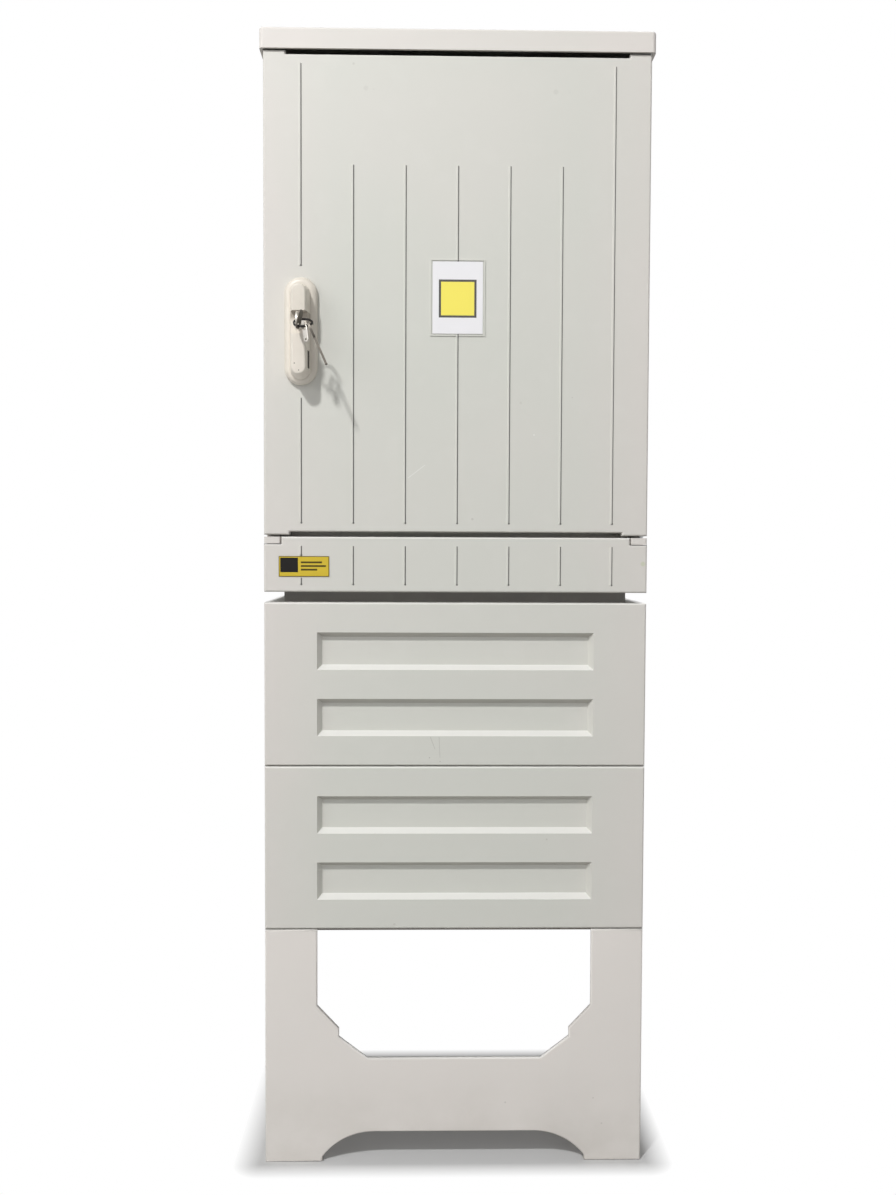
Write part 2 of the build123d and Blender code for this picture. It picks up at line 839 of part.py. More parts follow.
lever_base = front - escutcheon_reach - slip_gap
lever_face = front - lever_reach
lever_height = lever_base - lever_face
platform_y = front - platform_reach
hub_end = front + moulded_wall
cylinder_clear = 2.0
cylinder_foot = front - escutcheon_reach - cylinder_clear
lever_edge = 1.6
cut_spare = 1.0


def lever_form():
    plane = Plane(origin=(handle_x, lever_base, lever_z), x_dir=(1, 0, 0), z_dir=(0, -1, 0))
    return extrude(plane * stadium(lever_length, lever_width), amount=lever_height, taper=lever_taper)


def lever():
    """A tapered grip whose upper part is a lower platform for the cylinder and its cover."""
    reach = lever_length
    body = fillet(lever_form().faces().sort_by(Axis.Y)[0].edges(), lever_edge)
    body -= block(handle_x - reach, handle_x + reach, lever_face - cut_spare, platform_y,
                  pocket_foot, pocket_foot + reach)
    body += rod_y(handle_x, spindle_z, lever_base - rib_root, hub_end, hub_radius)
    body -= rod_y(handle_x, spindle_z, platform_y, cylinder_foot, cylinder_radius)
    return body


def dust_cover():
    """The cover that slides down over the cylinder when the key is out."""
    reach = lever_length
    body = fillet(lever_form().faces().sort_by(Axis.Y)[0].edges(), lever_edge)
    keep = block(handle_x - reach, handle_x + reach, lever_face - cut_spare, platform_y,
                 cover_foot, cover_foot + reach)
    return body & keep


nodes["handle_lever"] = lever()
nodes["handle_dust_cover"] = dust_cover()

cylinder_proud = 0.8
cylinder_face = platform_y - cylinder_proud
key_slot_half = 2.9
key_gap = 0.1
key_end_gap = 0.5
key_blade_depth = 9.0
cylinder = rod_y(handle_x, spindle_z, cylinder_face, cylinder_foot, cylinder_radius - running_gap)
cylinder -= rod_y(handle_x, spindle_z, cylinder_face, cylinder_foot, plug_radius + running_gap)
nodes["lock_cylinder"] = cylinder
slot = block(handle_x - key_thickness / 2, handle_x + key_thickness / 2, cylinder_face,
             cylinder_face + key_blade_depth, spindle_z - key_slot_half, spindle_z + key_slot_half)
nodes["lock_plug"] = rod_y(handle_x, spindle_z, cylinder_face, cylinder_foot, plug_radius) - slot

# Keys on their ring


def lengthwise(sketch, x_middle, thickness):
    """Raises a sketch drawn in Y and Z to a thickness on both sides of one width."""
    return crosswise(sketch, x_middle - thickness / 2, x_middle + thickness / 2)


key_hole_y = front - key_hole_reach
bow_y = front - key_bow_reach
blade_half = key_slot_half - key_gap
shoulder_half = 4.5
shoulder_clear = 1.0
key_outline = Pos(bow_y, spindle_z) * Circle(key_bow_radius)
key_outline += rectangle(bow_y, cylinder_face - shoulder_clear, spindle_z - shoulder_half, spindle_z + shoulder_half)
key_outline += rectangle(bow_y, cylinder_face + key_blade_depth - key_end_gap,
                         spindle_z - blade_half, spindle_z + blade_half)
key_outline -= Pos(key_hole_y, spindle_z) * Circle(key_hole_radius)
nodes["lock_key"] = lengthwise(key_outline, handle_x, key_thickness - 2 * key_gap)

hole_point = Vector(handle_x, key_hole_y, spindle_z)
across = Vector(1, 0, 0)
down_out = Vector(0, -math.sin(ring_tilt), -math.cos(ring_tilt))
ring_centre = hole_point + (across * math.cos(ring_turn) + down_out * math.sin(ring_turn)) * ring_radius
ring_plane = Plane(origin=ring_centre, x_dir=across, z_dir=across.cross(down_out))
ring_section = chamfer(Rectangle(2 * ring_wire, 2 * ring_wire).vertices(), ring_wire / 2)
nodes["key_ring"] = ring_plane * revolve(Plane.XZ * (Pos(ring_radius, 0) * ring_section), axis=Axis.Z)


def ring_point(turn):
    return ring_centre + (across * math.cos(turn) + down_out * math.sin(turn)) * ring_radius


spare_blade_half = 3.5
spare_cut_inset = 6.0
spare_cut_pitch = 5.0
spare_cut_side = 2.4
spare_cut_count = 4
spare_hole_radius = 2.9
spare_hole_inset = 4.2


def flat_key():
    """A flat key hanging from its hole, which is the sketch's origin; the blade points down."""
    middle = spare_hole_inset - spare_length / 2
    tip = spare_hole_inset - spare_length
    shape = Pos(0, spare_hole_inset - key_bow_radius) * Circle(key_bow_radius)
    shape += Pos(0, middle) * Rectangle(2 * spare_blade_half, spare_length)
    shape &= Pos(0, middle) * Rectangle(2 * key_bow_radius, spare_length)
    for i in range(spare_cut_count):
        place = Pos(-spare_blade_half, tip + spare_cut_inset + spare_cut_pitch * i)
        shape -= place * Rot(0, 0, 45) * Rectangle(spare_cut_side, spare_cut_side)
    return shape - Circle(spare_hole_radius)


spare_point = ring_point(spare_turn)
spare_plane = Plane(origin=spare_point, x_dir=(0, -1, 0),
                    z_dir=(-math.cos(spare_lean), 0, -math.sin(spare_lean)))
nodes["spare_key"] = extrude(spare_plane * flat_key(), amount=key_thickness / 2, both=True)

tag_point = ring_point(tag_turn)
tag_tangent = down_out * math.cos(tag_turn) - across * math.sin(tag_turn)
tag_plane = Plane(origin=tag_point, x_dir=tag_tangent.cross(Vector(0, 0, 1)), z_dir=tag_tangent)
tag_shape = Pos(0, tag_width / 2 - tag_length / 2) * stadium(tag_length, tag_width) - Circle(tag_hole_radius)
tag_shape = Pos(0, ring_wire + slip_gap - tag_hole_radius) * tag_shape
nodes["key_tag"] = extrude(tag_plane * tag_shape, amount=tag_thickness / 2, both=True)

# Lock case, pinion and rods


flank_steps = 3


def involute_point(base_radius, turn):
    return (base_radius * (math.cos(turn) + turn * math.sin(turn)),
            base_radius * (math.sin(turn) - turn * math.cos(turn)))


def pinion_outline():
    """Involute teeth, drawn one flank at a time round the pitch circle."""
    base = gear_radius * math.cos(gear_pressure)
    tip = gear_radius + gear_addendum * gear_module
    root = gear_radius - gear_dedendum * gear_module
    pitch_turn = math.tan(gear_pressure) - gear_pressure
    half_tooth = math.pi / (2 * gear_teeth) - gear_backlash / (2 * gear_radius)
    end = math.sqrt((tip / base) ** 2 - 1)
    flank = [(root, 0.0)]
    for step in range(flank_steps + 1):
        x, y = involute_point(base, end * step / flank_steps)
        flank.append((math.hypot(x, y), math.atan2(y, x)))
    points = []
    for tooth in range(gear_teeth):
        middle = 2 * math.pi * (tooth + 0.5) / gear_teeth
        rise = [(r, middle - half_tooth - pitch_turn + a) for r, a in flank]
        fall = [(r, middle + half_tooth + pitch_turn - a) for r, a in reversed(flank)]
        points += [(r * math.cos(a), r * math.sin(a)) for r, a in rise + fall]
    return polygon(*points)


rack_pitch = math.pi * gear_module
root_x = gear_radius + rack_dedendum * gear_module
gear_low = front + gear_depth
gear_high = gear_low + gear_width
spindle_end = front + case_depth - case_wall
square_gap = 0.1
pinion = facing(Pos(handle_x, spindle_z) * pinion_outline(), gear_low, gear_high)
pinion -= facing(Pos(handle_x, spindle_z) * Rectangle(spindle_side + square_gap, spindle_side + square_gap),
                 gear_low, gear_high)
nodes["lock_pinion"] = pinion
nodes["lock_spindle"] = facing(Pos(handle_x, spindle_z) * Rectangle(spindle_side, spindle_side),
                               hub_end, spindle_end - slip_gap)


def rack_outline(side, z_low, z_high, teeth):
    """A bar with straight-sided teeth towards the pinion, at whole pitches from the pinion's centre."""
    tip_x = gear_radius - gear_addendum * gear_module
    back_x = root_x + rack_back
    half_pitch_tooth = rack_pitch / 4 - gear_backlash / 2
    spread = math.tan(gear_pressure)
    root_half = half_pitch_tooth + (root_x - gear_radius) * spread
    tip_half = half_pitch_tooth - (gear_radius - tip_x) * spread
    points = [(back_x, z_low), (root_x, z_low)]
    for tooth in teeth:
        z = spindle_z + rack_pitch * tooth
        points += [(root_x, z - root_half), (tip_x, z - tip_half), (tip_x, z + tip_half), (root_x, z + root_half)]
    points += [(root_x, z_high), (back_x, z_high)]
    return polygon(*[(handle_x + side * x, z) for x, z in points])


rod_rest_top = upper_rail_foot - rod_clear
rod_rest_foot = lower_rail_top + rod_clear
teeth_in_travel = round(rod_travel / rack_pitch)
rack_spare_teeth = 2
rack_end = rack_pitch * (teeth_in_travel + rack_spare_teeth) + rack_pitch / 2
upper_rack_teeth = range(-teeth_in_travel - rack_spare_teeth, rack_spare_teeth + 1)
lower_rack_teeth = range(-rack_spare_teeth, teeth_in_travel + rack_spare_teeth + 1)
nodes["upper_lock_rod"] = facing(
    rack_outline(1, spindle_z - rack_end, rod_rest_top, upper_rack_teeth), gear_low, gear_high)
nodes["lower_lock_rod"] = facing(
    rack_outline(-1, rod_rest_foot, spindle_z + rack_end, lower_rack_teeth), gear_low, gear_high)

case_half = root_x + rack_back + case_clear + case_wall
case_low = spindle_z - case_length / 2
case_high = spindle_z + case_length / 2


def lock_case():
    """A box open at top and bottom for the rods."""
    outer = block(handle_x - case_half, handle_x + case_half, hub_end, front + case_depth, case_low, case_high)
    inner = block(handle_x - case_half + case_wall, handle_x + case_half - case_wall,
                  hub_end + case_wall, front + case_depth - case_wall, case_low, case_high)
    return outer - inner - rod_y(handle_x, spindle_z, hub_end, front + case_depth, case_hole_radius)


nodes["lock_case"] = lock_case()

guide_length = 10.0
guide_wall = 2.0
guide_ledge_gap = 1.725
guide_foot_half = seal_outer_x - seal_width + handle_x - root_x - rack_back / 2 - guide_ledge_gap
lower_guide_case_gap = 23.0
guide_rail_gap = 48.0
guide_case_gap = 73.0
guide_places = [(1, upper_rail_foot - guide_rail_gap), (1, case_high + guide_case_gap),
                (-1, lower_rail_top + guide_rail_gap), (-1, case_low - guide_length - lower_guide_case_gap)]


def rod_guide(side, z):
    """A bracket on the door's inner face: a foot, a web and a square eye for the rod."""
    ends = sorted((handle_x + side * (root_x - slip_gap), handle_x + side * (root_x + rack_back + slip_gap)))
    middle = sum(ends) / 2
    low_y, high_y = gear_low - slip_gap, gear_high + slip_gap
    foot_y = front + moulded_wall
    top = z + guide_length
    eye = block(ends[0] - guide_wall, ends[1] + guide_wall, low_y - guide_wall, high_y + guide_wall, z, top)
    web = block(middle - guide_wall, middle + guide_wall, foot_y, low_y - guide_wall, z, top)
    foot = block(middle - guide_foot_half, middle + guide_foot_half, foot_y, foot_y + guide_wall, z, top)
    return eye + web + foot - block(ends[0], ends[1], low_y, high_y, z, top)


nodes["rod_guides"] = Compound(children=[rod_guide(side, z) for side, z in guide_places])

# Equipment: mounting plate on its standoffs

standoff_radius = 7.0
standoff_side_inset = 15.0
standoff_inset = 20.0
standoff_places = [(side * (plate_half - standoff_side_inset), z) for side in (-1, 1)
                   for z in (plate_foot + standoff_inset, plate_top - standoff_inset)]
plate = block(-plate_half, plate_half, plate_front, plate_back, plate_foot, plate_top)
nodes["mounting_plate"] = fillet(plate.edges().filter_by(Axis.Y), plate_corner)
nodes["plate_standoffs"] = Compound(children=[
    rod_y(x, z, plate_back, back_inner, standoff_radius) for x, z in standoff_places])

# Equipment: fuse switch with its hinged cover

switch_front = plate_front - switch_base_depth
switch_top = switch_foot + switch_height
switch_wall = 3.0
switch_pin_radius = 2.0
terminal_floor = plate_front - post_depth
pole_places = [pole_pitch * i for i in (-1, 0, 1)]
terminal_height = 24.0
contact_thickness = 2.0
switch_hinge_reach = 7.0
switch_hinge_y = switch_front - switch_hinge_reach
switch_sill = 4.0
switch_head = 2.0
switch_hinge_z = switch_foot + terminal_height + switch_sill
well_back = 8.0
well_floor = plate_front - well_back
well_low = switch_foot + terminal_height + switch_sill
well_high = switch_top - terminal_height - switch_head
well_half = 13.0


def switch_base():
    """A moulded base with a deep well for each fuse and an open step for each terminal."""
    body = block(-switch_half, switch_half, switch_front, plate_front, switch_foot, switch_top)
    for x in pole_places:
        wells = [(switch_foot, switch_foot + terminal_height, terminal_floor),
                 (switch_top - terminal_height, switch_top, terminal_floor),
                 (well_low, well_high, well_floor)]
        for low, high, floor in wells:
            body -= block(x - well_half, x + well_half, switch_front, floor, low, high)
    return body


contact_depth = 22.0
contact_height = 14.0
contact_half = 5.6
lower_contact_inset = 1.0
upper_contact_inset = 9.0
lower_contact_z = well_low + lower_contact_inset
upper_contact_z = well_high - upper_contact_inset - contact_height


def fuse_contact(x, z_low):
    """A forked contact: two blades that stand up from the well's floor."""
    z_high = z_low + contact_height
    body = block(x - contact_half, x + contact_half, well_floor - contact_thickness, well_floor, z_low, z_high)
    for sign in (-1, 1):
        ends = sorted((x + sign * contact_half, x + sign * (contact_half - contact_thickness)))
        body += block(ends[0], ends[1], well_floor - contact_depth, well_floor, z_low, z_high)
    return body


nodes["fuse_contacts"] = Compound(children=[
    fuse_contact(x, z) for x in pole_places for z in (lower_contact_z, upper_contact_z)])

cover_lap = 2.5
switch_cover_half = switch_half - slip_gap
switch_cover_front = switch_front - switch_cover_depth
cover_low = switch_foot + terminal_height
cover_high = switch_top - terminal_height
grip_top_reach = 10.0
grip_top_drop = 16.0
grip_foot_drop = 34.0
grip_foot_fall = 8.0
lid_face_reach = 8.0
lid_foot_reach = 14.0
lid_sill = 12.0
lid_hollow_inset = 12.0
lid_floor = switch_cover_front + lid_hollow_inset


def switch_cover():
    """The lid that carries the fuses, with a grip across its upper part."""
    profile = polygon(
        (switch_front - cover_lap, cover_low),
        (switch_front - cover_lap, cover_high),
        (switch_cover_front + grip_top_reach, cover_high),
        (switch_cover_front, cover_high - grip_top_drop),
        (switch_cover_front, cover_high - grip_foot_drop),
        (switch_cover_front + lid_face_reach, cover_high - grip_foot_drop - grip_foot_fall),
        (switch_cover_front + lid_face_reach, cover_low + lid_sill),
        (switch_cover_front + lid_foot_reach, cover_low),
    )
    body = crosswise(profile, -switch_cover_half, switch_cover_half)
    hollow = polygon(
        (switch_front - cover_lap, cover_low + lid_sill),
        (switch_front - cover_lap, cover_high - switch_wall),
        (lid_floor, cover_high - switch_wall),
        (lid_floor, cover_low + lid_sill),
    )
    body -= crosswise(hollow, -switch_cover_half + switch_wall, switch_cover_half - switch_wall)
    bore = Pos(switch_hinge_y, switch_hinge_z) * Circle(switch_pin_radius + running_gap)
    return body - crosswise(bore, -switch_half, switch_half)


nodes["fuse_switch_cover"] = switch_cover()
ear_thickness = 3.0
ear_half = 5.0
nodes["fuse_switch_pin"] = crosswise(Pos(switch_hinge_y, switch_hinge_z) * Circle(switch_pin_radius),
                                     -switch_half - ear_thickness, switch_half + ear_thickness)


def switch_ear(side):
    """A hinge ear on the side of the base that holds one end of the cover's pin."""
    inner, outer = sorted((side * (switch_half - rib_root), side * (switch_half + ear_thickness)))
    seat = crosswise(rectangle(switch_front + rib_root, plate_front, switch_hinge_z - ear_half,
                               switch_hinge_z + ear_half), inner, outer)
    inner, outer = sorted((side * switch_half, side * (switch_half + ear_thickness)))
    nose = crosswise(rectangle(switch_hinge_y - ear_half, plate_front, switch_hinge_z - ear_half,
                               switch_hinge_z + ear_half), inner, outer)
    bore = Pos(switch_hinge_y, switch_hinge_z) * Circle(switch_pin_radius + running_gap)
    return seat + nose - crosswise(bore, inner, outer)


nodes["fuse_switch_base"] = switch_base() + switch_ear(-1) + switch_ear(1)

link_body_half = 10.5
link_blade_half = 3.3
link_stem_half = 5.0
link_gap_below = 4.0
link_gap_above = 9.0
link_clear = 6.0
link_depth = 32.0
link_blade_clear = 8.0
link_blade_depth = 12.0
link_body_low = lower_contact_z + contact_height + link_gap_below
link_body_high = upper_contact_z - link_gap_above
link_back = well_floor - link_clear
link_front = link_back - link_depth
link_blade_back = well_floor - link_blade_clear
link_blade_front = link_blade_back - link_blade_depth
link_blade_end = 1.0
link_stem_inset = 8.0


def fuse_link(x):
    """A fuse: a ceramic body with a flat blade at each end, carried by a stem from the cover."""
    body = block(x - link_body_half, x + link_body_half, link_front, link_back, link_body_low, link_body_high)
    body += block(x - link_blade_half, x + link_blade_half, link_blade_front, link_blade_back,
                  lower_contact_z + link_blade_end, upper_contact_z + contact_height - link_blade_end)
    body += block(x - link_stem_half, x + link_stem_half, lid_floor, link_front + rib_root,
                  link_body_low + link_stem_inset, link_body_high - link_stem_inset)
    return body


nodes["fuse_links"] = Compound(children=[fuse_link(x) for x in pole_places])

# Equipment: busbars on posts

post_radius = 11.0
post_overlap = 12.0
bar_face = terminal_floor - busbar_thickness
upper_terminal_z = switch_top - terminal_height / 2
lower_terminal_z = switch_foot + terminal_height / 2


def busbar(x, z_terminal, z_post):
    """A flat bar from a terminal of the switch to a post."""
    low, high = min(z_terminal, z_post) - post_overlap / 2, max(z_terminal, z_post) + post_overlap / 2
    return block(x - busbar_width / 2, x + busbar_width / 2, bar_face, terminal_floor, low, high)


post_places = [(x, z) for x in pole_places for z in (upper_post_z, lower_post_z)]
post_places += [(side * (earth_bar_half - earth_post_margin), earth_bar_z) for side in (-1, 1)]
nodes["bar_posts"] = Compound(children=[
    rod_y(x, z, terminal_floor, plate_front, post_radius) for x, z in post_places])
nodes["busbars"] = Compound(children=[
    busbar(x, z_terminal, z_post) for x in pole_places
    for z_terminal, z_post in ((upper_terminal_z, upper_post_z), (lower_terminal_z, lower_post_z))])

# Equipment: earth bar

earth_bar_height = 20.0
nodes["earth_bar"] = block(-earth_bar_half, earth_bar_half, bar_face, terminal_floor,
                           earth_bar_z - earth_bar_height / 2, earth_bar_z + earth_bar_height / 2)

# One file for each sub-part

os.makedirs("parts", exist_ok=True)
for name, solid in nodes.items():
    export_step(solid, f"parts/{name}.step")
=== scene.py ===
import json
import math

import bmesh
import bpy
from mathutils import Matrix, Vector


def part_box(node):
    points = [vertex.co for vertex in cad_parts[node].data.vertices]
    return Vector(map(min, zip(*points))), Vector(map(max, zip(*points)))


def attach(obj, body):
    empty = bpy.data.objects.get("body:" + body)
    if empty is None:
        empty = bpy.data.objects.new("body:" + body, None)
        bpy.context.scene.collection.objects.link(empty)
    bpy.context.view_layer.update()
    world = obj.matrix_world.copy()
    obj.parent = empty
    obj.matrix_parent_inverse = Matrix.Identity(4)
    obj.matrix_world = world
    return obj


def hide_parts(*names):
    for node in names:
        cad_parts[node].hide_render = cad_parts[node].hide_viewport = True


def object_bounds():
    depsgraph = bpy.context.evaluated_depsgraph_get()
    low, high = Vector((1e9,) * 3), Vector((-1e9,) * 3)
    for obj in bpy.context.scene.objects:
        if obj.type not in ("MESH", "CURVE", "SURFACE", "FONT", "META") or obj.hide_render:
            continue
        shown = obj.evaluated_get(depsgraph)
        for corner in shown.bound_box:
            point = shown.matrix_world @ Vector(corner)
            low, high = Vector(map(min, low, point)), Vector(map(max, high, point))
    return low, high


# Looks of the roadside cabinet. Metres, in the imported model's frame:
# X to the right, Y from the door to the back, Z up, the ground at zero.

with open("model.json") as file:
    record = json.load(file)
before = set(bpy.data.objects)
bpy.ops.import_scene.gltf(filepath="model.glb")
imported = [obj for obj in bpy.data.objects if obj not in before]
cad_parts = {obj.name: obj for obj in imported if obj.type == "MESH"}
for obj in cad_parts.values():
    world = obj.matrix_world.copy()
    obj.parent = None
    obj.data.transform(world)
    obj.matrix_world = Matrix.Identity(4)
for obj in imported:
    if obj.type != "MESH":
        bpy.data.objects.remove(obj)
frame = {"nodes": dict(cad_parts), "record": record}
nodes = frame["nodes"]
cad_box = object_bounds()
MM = 0.001


def mm(*lengths):
    """Millimetres as metres."""
    return tuple(length * MM for length in lengths)


# Camera, found from the edges of the cabinet in the photograph
IMAGE_HEIGHT = 1195
FOCAL_PIXELS = 1197.1
SENSOR_HEIGHT = 36.0
NEAR_CLIP = 0.01
CAMERA_PLACE = Vector((-0.0335, -1.375, 0.6548))
CAMERA_YAW = math.radians(1.158)
CAMERA_PITCH = math.radians(2.434)
CAMERA_ROLL = math.radians(0.233)

# Studio
KEY_DIRECTION = Vector((0.52, 1.0, -1.0)).normalized()
KEY_TARGET = Vector((0.0, -0.12, 0.80))
KEY_DISTANCE = 3.4
AMBIENT = 0.265
FLOOR_SIZE = 40.0
FLOOR_MIDDLE = (0.0, 8.0, 0.0)
FLOOR_FADE = (0.002, 0.030)
FLOOR_GREY = (0.57, 0.57, 0.57)
WHITE = (1.0, 1.0, 1.0)

# Lamps by name: place, target, width and power
LAMPS = {
    "key": (KEY_TARGET - KEY_DIRECTION * KEY_DISTANCE, KEY_TARGET, 0.22, 80.0),
    "fill": ((0.9, -6.0, 3.6), (0.0, 0.0, 0.6), 4.0, 27.0),
    "side": ((-1.7, -1.5, 1.5), (0.0, 0.0, 0.8), 1.2, 9.0),
    "back": ((0.7, 5.2, 3.0), (0.0, 0.0, 0.6), 3.0, 95.0),
}

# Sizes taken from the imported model
door_low, door_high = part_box("door")
base_low, base_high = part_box("handle_escutcheon")
lever_low, lever_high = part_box("handle_lever")
cap_low, cap_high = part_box("handle_dust_cover")
sign_low, sign_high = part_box("sign_plate")
label_low, label_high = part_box("label_plate")
panel_low, panel_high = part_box("lower_front_panel")
frame_low, frame_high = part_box("foundation_front_frame")
channel_low, channel_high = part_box("foundation_left_side")
wall_low, wall_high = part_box("left_side_wall")
DOOR_FACE = sign_high.y

# Modelling tolerances, the sides of round forms and the angles that stay crisp
HAIR = 0.01 * MM
FAR_OUT = 40.0 * MM
BODY_SIDES = 64
BORE_SIDES = 48
TAG_SIDES = 40
SMALL_SIDES = 32
CRISP_ANGLE = math.radians(35)
BOLT_CRISP_ANGLE = math.radians(25)

# Handle
HANDLE_X = (base_low.x + base_high.x) / 2
SPINDLE_Z = 880.0 * MM
BELOW_HANDLE, ABOVE_HANDLE = mm(700.0, 1000.0)
BASE_ROUNDING = 6.0 * MM
BORE_RADIUS = 8.1 * MM
LEVER_FACE = lever_low.y
LEVER_BASE = DOOR_FACE - 9.3 * MM
LEVER_RADIUS = 10.25 * MM
LEVER_FACE_SCALE = 0.7024
LEVER_ROUNDING = 1.7 * MM
SEAT_RADIUS = 5.7 * MM
SEAT_DEPTH = 6.0 * MM
PLATFORM_Y = cap_high.y
CAP_FOOT = cap_low.z
SLIDE_GAP = 0.15 * MM
POCKET_FOOT = 869.5 * MM
# Where the painted shadow under the lever's cap fades out
POCKET_SHADOW_FADE = mm(883.0, 887.0)
GROOVE_X = mm(-152.5, -151.4)
GROOVE_Z = mm(836.0, 854.0)
GROOVE_REACH = 17.0 * MM
DIMPLES = (mm(-165.0, 839.3), mm(-160.6, 832.3))
DIMPLE_RADIUS = 0.8 * MM

# Foundation: the wall of its mouldings, and the window of the front frame
FACE_WALL = 4.0 * MM
WINDOW_REACH = 149.5 * MM
WINDOW_FOOT = 107.5 * MM

# The split ring hangs in the key's hole, tilted towards the viewer
RING_RADIUS = 9.4 * MM
RING_WIRE = 0.66 * MM
RING_WIRE_SIDES = 12
RING_PITCH = 1.36 * MM
RING_ROUNDS = 2
RING_STEPS = 64
RING_TILT = math.radians(56.0)
RING_TURN = math.radians(44.0)
KEY_REACH = 43.2 * MM
KEY_HOLE = Vector((HANDLE_X, DOOR_FACE - KEY_REACH, SPINDLE_Z))
RING_ACROSS = Vector((1.0, 0.0, 0.0))
RING_DOWN = Vector((0.0, -math.sin(RING_TILT), -math.cos(RING_TILT)))

# The tag hangs from the ring by its upper eye, which is its own zero
TAG_RING_TURN = math.radians(75.0)
TAG_TOP = 3.2 * MM
TAG_LENGTH = 17.0 * MM
TAG_WIDTH = 6.2 * MM
TAG_HALF = 0.5 * MM
TAG_ROUNDING = 0.18 * MM
TAG_EYE = 1.9 * MM
TAG_FOOT_EYE = 2.6 * MM
TAG_LEAN = math.radians(-8.0)
TAG_FACING = math.radians(-35.0)

# Fasteners
PAN_RADIUS = 4.0 * MM
PAN_HEIGHT = 2.4 * MM
PAN_DOME = PAN_HEIGHT * 0.62
RECESS_ARM = 2.1 * MM
RECESS_HALF = 0.42 * MM
RECESS_FLOOR = -PAN_HEIGHT * 0.45
HEX_SIDES = 6
HEX_RADIUS = 5.0 * MM
HEX_HEIGHT = 4.4 * MM
HEX_CHAMFER = 0.5 * MM
WASHER_RADIUS = 5.6 * MM
WASHER_HEIGHT = 0.9 * MM
WASHER_CHAMFER = 0.25 * MM

# Faces that the fasteners sit on
WALL_BACK = wall_high.y
PLATE_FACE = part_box("mounting_plate")[0].y
BUSBAR_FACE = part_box("busbars")[0].y
EARTH_BAR_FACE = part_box("earth_bar")[0].y
STRAP_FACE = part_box("cable_straps")[0].y
FRONT_FLANGE = channel_low.y + FACE_WALL
BACK_FLANGE = channel_high.y - FACE_WALL
PANEL_FLANGE = wall_low.y + 3.5 * MM
DOOR_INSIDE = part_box("lock_case")[0].y

# Fastener rows in millimetres: X from the middle, Z from the ground
WALL_ROWS = (189, (660, 880, 1100))
PLATE_ROWS = (150, (675, 1110))
FRAME_ROWS = (189, (40, 140, 225))
PANEL_ROWS = (191, (622, 646))
BUSBAR_X, BUSBAR_BOLT_Z = (-33, 0, 33), (1075, 992, 868, 775)
EARTH_BAR_X, EARTH_BAR_Z = (-115, -80, -40, 0, 40, 80, 115), 700
STRAP_X, STRAP_SCREW_REACH, STRAP_Z = (-90, 0, 90), 24, 535
HANDLE_SCREWS = ((-161, 834), (-161, 918))

# Ribs of the door and the lower panel, with painted shade at their feet
RIB_SPACING = 54.0 * MM
RIB_PLACES = [RIB_SPACING * i for i in range(-3, 4)]
RIB_FOOT_SHIFT = 1.05 * MM
RIB_SHADE_EDGE = mm(0.35, 0.75)
RIB_SHADE_SPOT = 1.2 * MM
FACE_TOLERANCE = 0.3 * MM
DOOR_RIB_FOOT = door_low.z + 12.5 * MM
DOOR_RIB_TOP = door_high.z - 115.5 * MM
OUTER_RIB_TOP = door_high.z - 13.5 * MM
HANDLE_RIB_GAP = 13.0 * MM
PANEL_RIB_FOOT = panel_low.z + 8.0 * MM
PANEL_RIB_TOP = panel_high.z - 9.5 * MM
LABEL_RIB_GAP = 1.0 * MM
NOTCH_X = mm(181.8, 200.0)
NOTCH_Z = panel_high.z - 7.6 * MM
NOTCH_HALF = 0.7 * MM

# Sign and label
SIGN_MIDDLE_Z = 911.0 * MM
SIGN_OUTLINE = 19.5 * MM
SIGN_FIELD = 17.2 * MM
LABEL_MARGIN = 1.6 * MM
LABEL_EDGE = 0.8 * MM
SQUARE_RIGHT = 20.0 * MM
SQUARE_LIFT = 3.0 * MM
BAR_LEFT = 23.0 * MM
BAR_BELOW, BAR_ABOVE = mm(1.0, 0.9)
BARS = (mm(15.0, 45.0), mm(11.2, 49.0), mm(7.4, 40.0))

# Colours
POLYESTER = (0.618, 0.622, 0.572)
POLYESTER_WARM = (0.668, 0.634, 0.598)
POLYESTER_SHADE = (0.540, 0.536, 0.497)
POLYESTER_FLECK = (0.72, 0.71, 0.67)
UPTURNED_PAINTED_LIGHT = (0.82, 0.815, 0.785)
DUST = (0.50, 0.47, 0.41)
GRIT_AND_UNDERSIDE_SHADE = (0.36, 0.34, 0.30)
# Painted shade beside the ribs; the same dark also draws the dark joint lines at the panel's notches
RIB_SHADE_AND_JOINT_DARK = (0.085, 0.083, 0.078)
PALE_MARK = (0.80, 0.80, 0.77)
DARK_MARK = (0.30, 0.28, 0.25)
MOSS = (0.42, 0.50, 0.20)
LEVER_CREAM = (0.745, 0.692, 0.615)
LEVER_MOTTLE = (0.70, 0.645, 0.565)
POCKET_PAINTED_SHADOW = (0.25, 0.21, 0.165)
GROOVE_PAINTED_SHADE = (0.06, 0.05, 0.04)
DIMPLE_PAINTED_SHADE = (0.10, 0.08, 0.06)
ENAMEL = (0.83, 0.82, 0.84)
ENAMEL_CLOUD = (0.78, 0.78, 0.79)
SIGN_DARK = (0.05, 0.045, 0.04)
SIGN_YELLOW = (0.90, 0.78, 0.10)
LABEL_YELLOW = (0.66, 0.49, 0.05)
LABEL_OCHRE = (0.57, 0.42, 0.04)
LABEL_DARK = (0.012, 0.011, 0.010)
FOAM_DEEP = (0.018, 0.018, 0.019)
FOAM_SKIN = (0.055, 0.055, 0.056)

# Patterns of patches: scale, detail, and the levels where a patch starts and is full
CLOUDS = (3.2, 3.0, 0.42, 0.62)
FLECKS = (38.0, 3.0, 0.55, 0.75)
DUST_PATCHES = (24.0, 4.0, 0.35, 0.70)
GRIT_PATCHES = (7.0, 2.0, 0.55, 0.60)
MOTTLE = (90.0, 3.0, 0.40, 0.75)
DULL_PATCHES = (60.0, 4.0, 0.45, 0.70)

